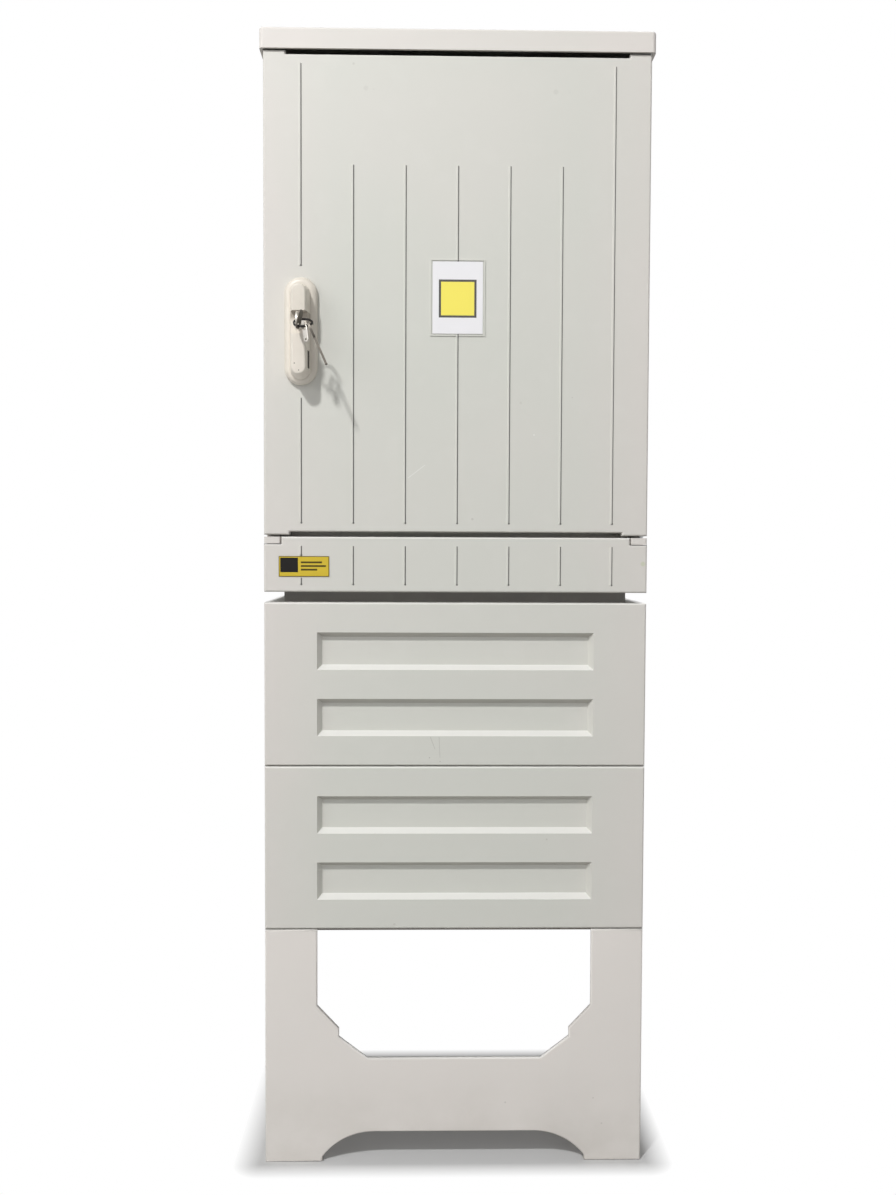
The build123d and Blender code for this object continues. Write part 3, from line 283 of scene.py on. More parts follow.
# Scales of even grain, and how far it is stretched along each axis
COARSE_GRAIN = 420.0
FIBRE_GRAIN = 260.0
POLYESTER_GLOSS = 52.0
PLASTIC_GLOSS = 140.0
SKIN_GRAIN = 900.0
ENAMEL_GRAIN = 700.0
ENAMEL_CLOUDS = 60.0
LABEL_CLOUDS = 80.0
FOAM_CELLS = 900.0
SPECK_CELLS, SPECK_SIZE = 34.0, 0.045
FIBRES = (0.22, 1.0, 1.0)
DRAWN = (1.0, 1.0, 0.12)
EVEN = (1.0, 1.0, 1.0)

# Where polyester warms towards the sides, gathers dust, and counts as turned up or down
WARM_SIDES = mm(125.0, 190.0)
DUST_HEIGHT = 100.0 * MM
TURNED = (0.30, 0.75)


# Shader arithmetic

class Socket:
    """A shader socket that takes part in sums; every operator adds one Math node."""

    def __init__(self, finish, link):
        self.finish = finish
        self.link = link

    def math(self, operation, *operands, clamp=False):
        settings = {"operation": operation, "use_clamp": clamp}
        return self.finish.node("ShaderNodeMath", settings, dict(enumerate(operands)))["Value"]

    def __add__(self, other):
        return self.math("ADD", self, other)

    def __radd__(self, other):
        return self.math("ADD", other, self)

    def __sub__(self, other):
        return self.math("SUBTRACT", self, other)

    def __rsub__(self, other):
        return self.math("SUBTRACT", other, self)

    def __mul__(self, other):
        return self.math("MULTIPLY", self, other)

    def __rmul__(self, other):
        return self.math("MULTIPLY", other, self)

    def __abs__(self):
        return self.math("ABSOLUTE", self)

    def below(self, limit):
        return self.math("LESS_THAN", self, limit)

    def above(self, limit):
        return self.math("GREATER_THAN", self, limit)

    def between(self, low, high):
        return self.above(low) * self.below(high)

    def larger(self, other):
        return self.math("MAXIMUM", self, other)

    def smaller(self, other):
        return self.math("MINIMUM", self, other)

    def root(self):
        return self.math("SQRT", self)

    def fade(self, start, end):
        """0 at start, 1 at end, straight between them."""
        return self.math("MULTIPLY", (self - start), 1.0 / (end - start), clamp=True)


class Node:
    """A shader node whose outputs are reached by name or number."""

    def __init__(self, finish, node):
        self.finish = finish
        self.made = node

    def __getitem__(self, name):
        return Socket(self.finish, self.made.outputs[name])


def opaque(colour):
    """A plain colour with its alpha; a socket stays as it is."""
    return colour if isinstance(colour, Socket) else (*colour, 1.0)


class Finish:
    """A node tree of one material, or of the world, built node by node."""

    # Numbers of the sockets that a Mix node uses for colours
    MIX_FACTOR, MIX_LOW, MIX_HIGH, MIX_RESULT = 0, 6, 7, 2

    def __init__(self, owner):
        self.owner = owner
        owner.use_nodes = True
        self.tree = owner.node_tree
        self.tree.nodes.clear()

    def node(self, kind, settings=None, inputs=None):
        made = self.tree.nodes.new(kind)
        for name, value in (settings or {}).items():
            setattr(made, name, value)
        for name, value in (inputs or {}).items():
            if isinstance(value, Socket):
                self.tree.links.new(value.link, made.inputs[name])
            else:
                made.inputs[name].default_value = value
        return Node(self, made)

    def place(self):
        return self.node("ShaderNodeTexCoord")["Object"]

    def parts(self, vector):
        split = self.node("ShaderNodeSeparateXYZ", inputs={"Vector": vector})
        return split["X"], split["Y"], split["Z"]

    def axes(self):
        return self.parts(self.place())

    def noise(self, scale, detail=2.0, stretch=EVEN, roughness=0.5):
        mapped = self.node("ShaderNodeMapping", inputs={"Vector": self.place(), "Scale": stretch})["Vector"]
        return self.node("ShaderNodeTexNoise", inputs={
            "Vector": mapped, "Scale": scale, "Detail": detail, "Roughness": roughness})["Fac"]

    def patches(self, pattern):
        """1 in the patches of a pattern and 0 between them, with soft edges."""
        scale, detail, start, end = pattern
        return self.noise(scale, detail).fade(start, end)

    def cells(self, scale):
        """Distance to the nearest of many scattered points."""
        return self.node("ShaderNodeTexVoronoi", {"feature": "F1"}, {
            "Vector": self.place(), "Scale": scale})["Distance"]

    def mix(self, factor, low, high):
        return self.node("ShaderNodeMix", {"data_type": "RGBA"}, {
            self.MIX_FACTOR: factor, self.MIX_LOW: opaque(low), self.MIX_HIGH: opaque(high)})[self.MIX_RESULT]

    def bump(self, height, strength, depth):
        return self.node("ShaderNodeBump", inputs={
            "Height": height, "Strength": strength, "Distance": depth})["Normal"]

    def looked_at(self):
        """1 where a surface is seen, straight on or in a reflection; 0 where it only gives light."""
        rays = self.node("ShaderNodeLightPath")
        return rays["Is Camera Ray"].larger(rays["Is Glossy Ray"]).larger(rays["Is Transmission Ray"])

    def finish(self, **inputs):
        named = {name.replace("_", " "): value for name, value in inputs.items()}
        shader = self.node("ShaderNodeBsdfPrincipled", inputs=named)["BSDF"]
        self.node("ShaderNodeOutputMaterial", inputs={"Surface": shader})
        return self.owner


def new_finish(name):
    return Finish(bpy.data.materials.new(name))


def toned(colour, tone):
    return tuple(min(1.0, part * tone) for part in colour)


# Marks: each maker returns a mask over the front faces, worked out from the three axes

def spot(centre, radius):
    """A round mark."""
    cx, cz = centre

    def mask(x, y, z):
        across, along = x - cx, z - cz
        return 1.0 - (across * across + along * along).root().fade(radius * 0.6, radius)

    return mask


def stroke(start, end, half_width):
    """A straight scratch between two points."""
    sx, sz = start
    ex, ez = end
    length = math.hypot(ex - sx, ez - sz)
    ux, uz = (ex - sx) / length, (ez - sz) / length

    def mask(x, y, z):
        along = (x - sx) * ux + (z - sz) * uz
        off = abs((x - sx) * uz - (z - sz) * ux)
        return along.between(0.0, length) * (1.0 - off.fade(half_width * 0.4, half_width))

    return mask


def rib_feet_shade(spans):
    """Painted shade at the right-hand foot of each rib, on its side away from the light, and a painted shadow
    spot at its lower end.
    """

    def mask(x, y, z):
        total = 0.0
        for place, low, high in spans:
            foot = place + RIB_FOOT_SHIFT
            line = 1.0 - abs(x - foot).fade(*RIB_SHADE_EDGE)
            total = total + line * z.between(low, high)
            total = total + spot((foot, low), RIB_SHADE_SPOT)(x, y, z)
        return total.smaller(1.0) * y.below(DOOR_FACE + FACE_TOLERANCE)

    return mask


# Ribs as X, foot and top. The sign, the handle and the label each break one.
door_spans = [(x, DOOR_RIB_FOOT, DOOR_RIB_TOP) for x in RIB_PLACES[1:-1] if x]
door_spans += [(0.0, DOOR_RIB_FOOT, sign_low.z), (0.0, sign_high.z, DOOR_RIB_TOP)]
door_spans += [(RIB_PLACES[-1], DOOR_RIB_FOOT, OUTER_RIB_TOP)]
door_spans += [(RIB_PLACES[0], DOOR_RIB_FOOT, base_low.z - HANDLE_RIB_GAP),
               (RIB_PLACES[0], base_high.z + HANDLE_RIB_GAP, OUTER_RIB_TOP)]
panel_spans = [(x, PANEL_RIB_FOOT, PANEL_RIB_TOP) for x in RIB_PLACES[1:]]
panel_spans += [(RIB_PLACES[0], PANEL_RIB_FOOT, label_low.z - LABEL_RIB_GAP),
                (RIB_PLACES[0], label_high.z + LABEL_RIB_GAP, PANEL_RIB_TOP)]

# Marks as mask, strength and tint
door_marks = (
    # painted shade beside each door rib
    (rib_feet_shade(door_spans), 0.92, RIB_SHADE_AND_JOINT_DARK),
    (stroke(mm(-50.4, 725.9), mm(-32.7, 739.5), 0.5 * MM), 0.6, PALE_MARK),
    (spot(mm(80.6, 771.2), 0.9 * MM), 0.8, PALE_MARK),
    (spot(mm(-94.5, 1124.3), 3.0 * MM), 0.12, DARK_MARK),
    (spot(mm(100.8, 1122.5), 3.2 * MM), 0.12, DARK_MARK),
)
cover_marks = (
    (stroke(mm(-26.2, 455.0), mm(-21.2, 442.0), 0.4 * MM), 0.45, DARK_MARK),
    (stroke(mm(-17.0, 455.0), mm(-16.0, 433.0), 0.4 * MM), 0.40, DARK_MARK),
    (spot(mm(-27.0, 433.0), 0.8 * MM), 0.6, DARK_MARK),
    (spot(mm(-15.9, 429.2), 0.7 * MM), 0.6, DARK_MARK),
)
panel_marks = (
    # painted shade beside each panel rib; the two notch strokes below are dark joints
    (rib_feet_shade(panel_spans), 0.92, RIB_SHADE_AND_JOINT_DARK),
    (stroke((-NOTCH_X[1], NOTCH_Z), (-NOTCH_X[0], NOTCH_Z), NOTCH_HALF), 0.9, RIB_SHADE_AND_JOINT_DARK),
    (stroke((NOTCH_X[0], NOTCH_Z), (NOTCH_X[1], NOTCH_Z), NOTCH_HALF), 0.9, RIB_SHADE_AND_JOINT_DARK),
    (spot(mm(195.7, 637.4), 3.0 * MM), 0.30, MOSS),
)


# Finishes

def polyester(name, warmth, tone, marks=()):
    """Pressed glass-fibre polyester: a soft skin with cloudy tint, fine fibre grain and dust low down.

    Faces turned up are painted lighter as painted light, and faces turned down are painted darker as painted
    shade.
    """
    f = new_finish(name)
    x, y, z = f.axes()
    sides = abs(x).fade(*WARM_SIDES)
    warm = (f.patches(CLOUDS) * 0.35 + sides * 0.55 + warmth).smaller(1.0)
    colour = f.mix(warm, toned(POLYESTER, tone), toned(POLYESTER_WARM, tone))
    grain = f.noise(COARSE_GRAIN, 4.0, roughness=0.65)
    fibre = f.noise(FIBRE_GRAIN, stretch=FIBRES)
    colour = f.mix(grain.fade(0.62, 0.80) * 0.10, colour, POLYESTER_SHADE)
    colour = f.mix(f.patches(FLECKS) * 0.10, colour, POLYESTER_FLECK)
    dust = (DUST_HEIGHT - z).fade(0.0, DUST_HEIGHT) * f.patches(DUST_PATCHES)
    colour = f.mix(dust * 0.35, colour, DUST)
    specks = f.cells(SPECK_CELLS).below(SPECK_SIZE) * f.patches(GRIT_PATCHES)
    colour = f.mix(specks * 0.30, colour, GRIT_AND_UNDERSIDE_SHADE)
    upward = f.parts(f.node("ShaderNodeNewGeometry")["Normal"])[2]
    # painted light on faces turned up, painted shade on faces turned down
    colour = f.mix(upward.fade(*TURNED) * 0.75, colour, UPTURNED_PAINTED_LIGHT)
    colour = f.mix((0.0 - upward).fade(*TURNED) * 0.70, colour, GRIT_AND_UNDERSIDE_SHADE)
    for mask, strength, tint in marks:
        colour = f.mix(mask(x, y, z) * strength, colour, tint)
    height = grain * 0.5 + fibre * 0.5
    rough = f.noise(POLYESTER_GLOSS) * 0.10 + 0.44
    return f.finish(Base_Color=colour, Roughness=rough, Normal=f.bump(height, 0.16, 0.25 * MM))


def smooth_plastic(name, colour, rough, grain=0.06, coat=0.0):
    """Moulded plastic with a faint mottle."""
    f = new_finish(name)
    tint = f.mix(f.patches(MOTTLE) * 0.6, colour, toned(colour, 0.93))
    return f.finish(Base_Color=tint, Roughness=f.noise(PLASTIC_GLOSS) * 0.12 + rough, Coat_Weight=coat,
                    Normal=f.bump(f.noise(SKIN_GRAIN), grain, 0.15 * MM))


def steel(name, colour, rough=0.32, streak=DRAWN):
    """Metal with faint streaks and dull patches."""
    f = new_finish(name)
    streaks = f.noise(SKIN_GRAIN, stretch=streak)
    patches = f.patches(DULL_PATCHES)
    tint = f.mix(patches * 0.4, colour, toned(colour, 0.72))
    return f.finish(Base_Color=tint, Metallic=1.0, Roughness=streaks * 0.14 + patches * 0.12 + rough,
                    Normal=f.bump(streaks, 0.08, 0.1 * MM))


def foam_rubber(name):
    """Black foamed rubber with open cells."""
    f = new_finish(name)
    cells = f.cells(FOAM_CELLS)
    tint = f.mix(cells.fade(0.2, 0.7), FOAM_DEEP, FOAM_SKIN)
    return f.finish(Base_Color=tint, Roughness=0.85, Normal=f.bump(cells, 0.5, 0.3 * MM))


def lever_plastic(name):
    """The cream lever: a painted shadow in its pocket under the cap, painted shade in its groove, and two
    small moulding dimples lower down painted dark as their shade.
    """
    f = new_finish(name)
    x, y, z = f.axes()
    tint = f.mix(f.patches(MOTTLE) * 0.5, LEVER_CREAM, LEVER_MOTTLE)
    # painted shadow of the cap on the pocket floor beneath it
    pocket = z.fade(*POCKET_SHADOW_FADE) * z.below(CAP_FOOT) * y.above(PLATFORM_Y - MM)
    tint = f.mix(pocket * 0.75, tint, POCKET_PAINTED_SHADOW)
    # painted shade inside the cut groove
    groove = x.between(GROOVE_X[0] - HAIR, GROOVE_X[1] + HAIR) * z.between(*GROOVE_Z)
    tint = f.mix(groove * 0.9, tint, GROOVE_PAINTED_SHADE)
    # dark dots painted as the shade of the two dimples, which are not modelled
    for place in DIMPLES:
        tint = f.mix(spot(place, DIMPLE_RADIUS)(x, y, z) * 0.85, tint, DIMPLE_PAINTED_SHADE)
    return f.finish(Base_Color=tint, Roughness=f.noise(PLASTIC_GLOSS) * 0.10 + 0.30,
                    Normal=f.bump(f.noise(SKIN_GRAIN), 0.05, 0.15 * MM))


def sign_print(name):
    """White enamel with a plain yellow field in a dark outline."""
    f = new_finish(name)
    x, _, z = f.axes()
    middle_x = (sign_low.x + sign_high.x) / 2
    far = abs(x - middle_x).larger(abs(z - SIGN_MIDDLE_Z))
    white = f.mix(f.noise(ENAMEL_CLOUDS) * 0.4, ENAMEL, ENAMEL_CLOUD)
    tint = f.mix(far.below(SIGN_OUTLINE), white, SIGN_DARK)
    tint = f.mix(far.below(SIGN_FIELD), tint, SIGN_YELLOW)
    return f.finish(Base_Color=tint, Roughness=0.28, Coat_Weight=0.3,
                    Normal=f.bump(f.noise(ENAMEL_GRAIN), 0.04, 0.1 * MM))


def label_print(name):
    """A yellow laminate with a dark edge, a dark square and three plain bars."""
    f = new_finish(name)
    x, _, z = f.axes()
    width, height = label_high.x - label_low.x, label_high.z - label_low.z
    across, up = x - label_low.x, z - label_low.z
    tint = f.mix(f.noise(LABEL_CLOUDS) * 0.5, LABEL_YELLOW, LABEL_OCHRE)
    square_foot, square_top = LABEL_MARGIN + SQUARE_LIFT, height - LABEL_MARGIN
    square = across.between(LABEL_MARGIN, SQUARE_RIGHT) * up.between(square_foot, square_top)
    tint = f.mix(square, tint, LABEL_DARK)
    for level, right in BARS:
        bar = across.between(BAR_LEFT, right) * up.between(level - BAR_BELOW, level + BAR_ABOVE)
        tint = f.mix(bar * 0.9, tint, LABEL_DARK)
    edge = abs(across - width / 2).above(width / 2 - LABEL_EDGE)
    edge = edge.larger(abs(up - height / 2).above(height / 2 - LABEL_EDGE))
    tint = f.mix(edge * 0.75, tint, LABEL_DARK)
    return f.finish(Base_Color=tint, Roughness=0.55, Specular_IOR_Level=0.15)


finishes = {
    "door": polyester("door skin", 0.0, 1.0, door_marks),
    "panel": polyester("panel skin", 0.0, 1.0, panel_marks),
    "box": polyester("box skin", 0.3, 1.02),
    "cover": polyester("cover skin", 0.05, 1.01, cover_marks),
    "frame": polyester("foundation skin", 0.95, 1.13),
    # painted shade: the neck and the top deck are darkened because they lie in shadow under the box above
    # them
    "shade": polyester("neck and deck painted shade", 0.9, 0.42),
    "roof": polyester("roof skin", 0.6, 1.03),
    "cream": smooth_plastic("handle cream", (0.715, 0.665, 0.585), 0.30),
    "lever": lever_plastic("lever cream"),
    "zinc": steel("zinc plate", (0.62, 0.63, 0.64)),
    "plate": steel("galvanised sheet", (0.60, 0.61, 0.61), 0.40, EVEN),
    "nickel": steel("worn nickel", (0.66, 0.63, 0.58), 0.22),
    # painted shade and reflection: the spare key and the key tag are darkened to look like their shaded,
    # edge-on steel
    "dull_steel": steel("key steel with painted shade", (0.17, 0.155, 0.135), 0.46),
    "ring_wire": steel("dark ring wire", (0.045, 0.042, 0.040), 0.38),
    "cast": steel("die-cast zinc", (0.50, 0.50, 0.49), 0.45),
    "rubber": foam_rubber("seal foam"),
    "sign": sign_print("sign enamel"),
    "label": label_print("label laminate"),
    "base_dark": smooth_plastic("switch base", (0.055, 0.06, 0.065), 0.42, 0.12),
    "lid_grey": smooth_plastic("switch lid", (0.30, 0.32, 0.33), 0.40, 0.12),
    "ceramic": smooth_plastic("fuse ceramic", (0.83, 0.80, 0.72), 0.20, 0.02, 0.5),
    "copper": steel("bare copper", (0.72, 0.38, 0.22), 0.30),
    "resin": smooth_plastic("post resin", (0.36, 0.06, 0.035), 0.32, 0.05, 0.2),
}

# Nodes by finish. Any other node takes the finish of its material slot in the record.
finish_nodes = {
    "door": ("door",),
    "panel": ("lower_front_panel",),
    "roof": ("roof",),
    "cover": ("foundation_upper_cover", "foundation_lower_cover",
              "foundation_back_upper_cover", "foundation_back_lower_cover"),
    "frame": ("foundation_front_frame", "foundation_back_frame",
              "foundation_left_side", "foundation_right_side"),
    "shade": ("foundation_top_deck", "base_frame"),
    "rubber": ("door_seal",),
    "sign": ("sign_plate",),
    "label": ("label_plate",),
    "cream": ("handle_escutcheon", "handle_dust_cover"),
    "lever": ("handle_lever",),
    "plate": ("mounting_plate",),
    "cast": ("lock_pinion",),
    "nickel": ("lock_cylinder", "lock_plug", "lock_key"),
    "dull_steel": ("key_tag", "spare_key"),
    "ring_wire": ("key_ring",),
    "base_dark": ("cable_saddles", "cable_straps", "fuse_switch_base"),
    "lid_grey": ("fuse_switch_cover",),
    "ceramic": ("fuse_links",),
    "copper": ("fuse_contacts", "busbars", "earth_bar"),
    "resin": ("bar_posts",),
}
node_finish = {name: key for key, names in finish_nodes.items() for name in names}
slot_finish = {"body_grp": "box", "foundation_grp": "frame", "zinc_steel": "zinc"}
record_slots = {s["node"]: s["material_slot"] for s in frame["record"]["subparts"]}
for name, obj in nodes.items():
    key = node_finish.get(name) or slot_finish[record_slots[name]]
    obj.data.materials.clear()
    obj.data.materials.append(finishes[key])


# Modelling helpers

def deselect():
    if bpy.context.object and bpy.context.object.mode != "OBJECT":
        bpy.ops.object.mode_set(mode="OBJECT")
    bpy.ops.object.select_all(action="DESELECT")


def take(piece):
    """Leaves edit mode, and makes this piece the only one selected and the active one."""
    deselect()
    piece.select_set(True)
    bpy.context.view_layer.objects.active = piece


def pick(piece, test, kind="VERT"):
    """Selects vertices that pass a test, or edges that pass it at both ends and midway, in edit mode."""
    if piece.mode != "EDIT":
        take(piece)
        bpy.ops.object.mode_set(mode="EDIT")
    bpy.ops.mesh.select_mode(type=kind)
    bpy.ops.mesh.select_all(action="DESELECT")
    mesh = bmesh.from_edit_mesh(piece.data)
    if kind == "VERT":
        for vertex in mesh.verts:
            vertex.select_set(test(vertex.co))
    else:
        for edge in mesh.edges:
            start, end = (vertex.co for vertex in edge.verts)
            edge.select_set(test((start + end) / 2) and test(start) and test(end))
    mesh.select_flush_mode()
    bmesh.update_edit_mesh(piece.data)


def round_edges(width, segments):
    """Bevels the edges that are picked, and leaves edit mode."""
    bpy.ops.mesh.bevel(offset=width, segments=segments, profile=0.5, affect="EDGES")
    bpy.ops.object.mode_set(mode="OBJECT")


def shade(piece, angle=CRISP_ANGLE):
    """Smooth shading, with the edges above this angle left crisp."""
    take(piece)
    bpy.ops.object.shade_smooth_by_angle(angle=angle)


def cylinder_y(name, x, z, y_front, y_back, radius, sides):
    """A new cylinder along Y, with a flat pair of sides left and right."""
    deselect()
    bpy.ops.mesh.primitive_cylinder_add(
        vertices=sides, radius=radius, depth=y_back - y_front,
        location=(x, (y_front + y_back) / 2, z), rotation=(math.pi / 2, math.pi / sides, 0))
    piece = bpy.context.object
    piece.name = piece.data.name = name
    bpy.ops.object.transform_apply(location=True, rotation=True, scale=True)
    return piece


def slot_body(name, x, z_low, z_high, width, y_front, y_back, sides):
    """An upright body, round at both ends: a cylinder whose lower half is pulled down."""
    radius = width / 2
    piece = cylinder_y(name, x, z_high - radius, y_front, y_back, radius, sides)
    pick(piece, lambda p: p.z < z_high - radius)
    bpy.ops.transform.translate(value=(0, 0, -(z_high - z_low - width)))
    return piece


def cube_cutter(low, high):
    deselect()
    middle = (Vector(low) + Vector(high)) / 2
    bpy.ops.mesh.primitive_cube_add(size=1.0, location=middle)
    cutter = bpy.context.object
    cutter.scale = Vector(high) - Vector(low)
    bpy.ops.object.transform_apply(location=True, rotation=True, scale=True)
    return cutter


def cut(piece, cutter):
    """Takes the cutter's form out of the piece and removes the cutter."""
    take(piece)
    tool = piece.modifiers.new("cut", "BOOLEAN")
    tool.operation = "DIFFERENCE"
    tool.object = cutter
    tool.solver = "EXACT"
    bpy.ops.object.modifier_apply(modifier=tool.name)
    bpy.data.objects.remove(cutter)


def set_in_place(piece, matrix):
    """Moves the piece to its place and leaves the object itself at the origin."""
    take(piece)
    piece.matrix_world = matrix
    bpy.ops.object.transform_apply(location=True, rotation=True, scale=True)


def give(piece, key, body, slot, *replaced):
    """The finished piece gets its finish and rides on its body."""
    piece.data.materials.clear()
    piece.data.materials.append(finishes[key])
    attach(piece, body)
    if replaced:
        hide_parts(*replaced)


# Handle

def oval_base():
    """A long oval with a domed edge, a flat seat for the lever and a bore through it."""
    base = slot_body("handle_base", HANDLE_X, base_low.z, base_high.z, base_high.x - base_low.x,
                     base_low.y, base_high.y, BODY_SIDES)
    pick(base, lambda p: p.y < base_low.y + HAIR, "EDGE")
    round_edges(BASE_ROUNDING, 8)
    cut(base, cylinder_y("bore", HANDLE_X, SPINDLE_Z, base_low.y - MM, base_high.y + MM, BORE_RADIUS,
                         BORE_SIDES))
    shade(base)
    return base


def lever_blank(name):
    """The tapered grip, before its pocket is cut: its face is narrower than its foot."""
    foot_z, head_z = lever_low.z, lever_high.z
    blank = slot_body(name, HANDLE_X, foot_z, head_z, 2 * LEVER_RADIUS, LEVER_FACE, LEVER_BASE, BODY_SIDES)
    middle_z = (foot_z + head_z) / 2
    for side, centre_z in ((1, head_z - LEVER_RADIUS), (-1, foot_z + LEVER_RADIUS)):
        pick(blank, lambda p: p.y < LEVER_FACE + HAIR and (p.z - middle_z) * side > 0)
        bpy.ops.transform.resize(value=(LEVER_FACE_SCALE, 1.0, LEVER_FACE_SCALE),
                                 center_override=(HANDLE_X, LEVER_FACE, centre_z))
    pick(blank, lambda p: p.y < LEVER_FACE + HAIR, "EDGE")
    round_edges(LEVER_ROUNDING, 5)
    return blank


def across_handle(y_front, y_back, z_low, z_high):
    """A cutter that is wider than the handle."""
    return cube_cutter((HANDLE_X - FAR_OUT, y_front, z_low), (HANDLE_X + FAR_OUT, y_back, z_high))


def lever_grip():
    """The lever, with the pocket that its cap slides in, a round seat in front and a groove at the right."""
    lever = lever_blank("lever_grip")
    cut(lever, across_handle(LEVER_FACE - FAR_OUT, PLATFORM_Y + SLIDE_GAP, POCKET_FOOT, ABOVE_HANDLE))
    cut(lever, cylinder_y("seat", HANDLE_X, SPINDLE_Z, LEVER_FACE, LEVER_BASE - SEAT_DEPTH, SEAT_RADIUS,
                          BORE_SIDES))
    cut(lever, cube_cutter((GROOVE_X[0], LEVER_FACE - FAR_OUT, GROOVE_Z[0]),
                           (GROOVE_X[1], LEVER_FACE + GROOVE_REACH, GROOVE_Z[1])))
    shade(lever)
    return lever


def dust_cap():
    """The upper end of the lever's face, which slides in front of the lock."""
    cap = lever_blank("dust_cap")
    cut(cap, across_handle(PLATFORM_Y, 0.0, BELOW_HANDLE, ABOVE_HANDLE))
    cut(cap, across_handle(LEVER_FACE - FAR_OUT, 0.0, BELOW_HANDLE, CAP_FOOT))
    shade(cap)
    return cap


# Front frame of the foundation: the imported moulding, with no flange turned back round its window

def thin_window_frame():
    """A copy of the moulding whose window flange is taken down to the thickness of its face."""
    deselect()
    moulding = nodes["foundation_front_frame"].copy()
    moulding.data = moulding.data.copy()
    bpy.context.scene.collection.objects.link(moulding)
    moulding.name = moulding.data.name = "front_frame"
    pick(moulding, lambda p: True)
    bpy.ops.mesh.remove_doubles(threshold=HAIR)
    pick(moulding, lambda p: abs(p.y - frame_high.y) < HAIR and abs(p.x) < WINDOW_REACH and p.z > WINDOW_FOOT)
    bpy.ops.transform.translate(value=(0, FACE_WALL - (frame_high.y - frame_low.y), 0))
    bpy.ops.mesh.select_all(action="SELECT")
    bpy.ops.mesh.remove_doubles(threshold=HAIR)
    bpy.ops.mesh.dissolve_degenerate(threshold=HAIR)
    shade(moulding)
    return moulding


# Split ring: a wire wound twice round, and a plain tag that hangs from it

def ring_point(centre, turn):
    return centre + (RING_ACROSS * math.cos(turn) + RING_DOWN * math.sin(turn)) * RING_RADIUS


ring_centre = ring_point(KEY_HOLE, RING_TURN)


def split_ring():
    """One round of wire, wound twice by a screw, with its two ends closed."""
    deselect()
    bpy.ops.mesh.primitive_circle_add(vertices=RING_WIRE_SIDES, radius=RING_WIRE,
                                      location=(RING_RADIUS, 0, -RING_PITCH), rotation=(math.pi / 2, 0, 0))
    ring = bpy.context.object
    ring.name = ring.data.name = "split_ring"
    bpy.ops.object.transform_apply(location=True, rotation=True, scale=True)
    wind = ring.modifiers.new("wind", "SCREW")
    wind.axis = "Z"
    wind.angle = 2 * math.pi
    wind.screw_offset = RING_PITCH
    wind.iterations = RING_ROUNDS
    wind.steps = wind.render_steps = RING_STEPS
    wind.use_merge_vertices = False
    bpy.ops.object.modifier_apply(modifier=wind.name)
    bpy.ops.object.mode_set(mode="EDIT")
    bpy.ops.mesh.select_all(action="SELECT")
    bpy.ops.mesh.remove_doubles(threshold=HAIR)
    bpy.ops.mesh.select_all(action="DESELECT")
    bpy.ops.mesh.select_mode(type="EDGE")
    bpy.ops.mesh.select_non_manifold()
    bpy.ops.mesh.edge_face_add()
    bpy.ops.mesh.select_all(action="SELECT")
    bpy.ops.mesh.normals_make_consistent(inside=False)
    shade(ring)
    turned = Matrix((RING_ACROSS, RING_DOWN, RING_ACROSS.cross(RING_DOWN))).transposed().to_4x4()
    set_in_place(ring, Matrix.Translation(ring_centre) @ turned)
    return ring


def plain_tag():
    """A small bright oblong with a round hole near each end, hung by the upper one."""
    tag = slot_body("ring_tag", 0.0, TAG_TOP - TAG_LENGTH, TAG_TOP, TAG_WIDTH, -TAG_HALF, TAG_HALF, TAG_SIDES)
    pick(tag, lambda p: abs(p.y) > TAG_HALF - HAIR, "EDGE")
    round_edges(TAG_ROUNDING, 2)
    lower_z = TAG_TOP - TAG_LENGTH + TAG_FOOT_EYE
    for name, z, radius in (("eye", 0.0, TAG_EYE), ("lower_eye", lower_z, TAG_FOOT_EYE / 2)):
        cut(tag, cylinder_y(name, 0.0, z, -FAR_OUT, FAR_OUT, radius, SMALL_SIDES))
    shade(tag)
    hang = ring_point(ring_centre, TAG_RING_TURN) + Vector((0, 0, RING_WIRE - TAG_EYE))
    lean = Matrix.Rotation(TAG_LEAN, 4, "Y") @ Matrix.Rotation(TAG_FACING, 4, "Z")
    set_in_place(tag, Matrix.Translation(hang) @ lean)
    return tag


# Fasteners: each kind is modelled once with its seat at the origin and its head towards -Y

def pan_screw():
    """A domed head with a cross recess."""
    head = cylinder_y("pan_screw", 0.0, 0.0, -PAN_HEIGHT, 0.0, PAN_RADIUS, SMALL_SIDES)
    pick(head, lambda p: p.y < -PAN_HEIGHT + HAIR, "EDGE")
    round_edges(PAN_DOME, 5)
    for half_x, half_z in ((RECESS_ARM, RECESS_HALF), (RECESS_HALF, RECESS_ARM)):
        cut(head, cube_cutter((-half_x, -FAR_OUT, -half_z), (half_x, RECESS_FLOOR, half_z)))
    shade(head)
    return head


def hex_bolt():
    """A six-sided head with broken corners, on a round washer."""
    head = cylinder_y("hex_bolt", 0.0, 0.0, -HEX_HEIGHT, -WASHER_HEIGHT, HEX_RADIUS, HEX_SIDES)
    pick(head, lambda p: p.y < -HEX_HEIGHT + HAIR, "EDGE")
    round_edges(HEX_CHAMFER, 2)
    washer = cylinder_y("washer", 0.0, 0.0, -WASHER_HEIGHT, 0.0, WASHER_RADIUS, SMALL_SIDES)
    pick(washer, lambda p: p.y < -WASHER_HEIGHT + HAIR, "EDGE")
    round_edges(WASHER_CHAMFER, 2)
    take(head)
    washer.select_set(True)
    bpy.ops.object.join()
    shade(head, BOLT_CRISP_ANGLE)
    return head


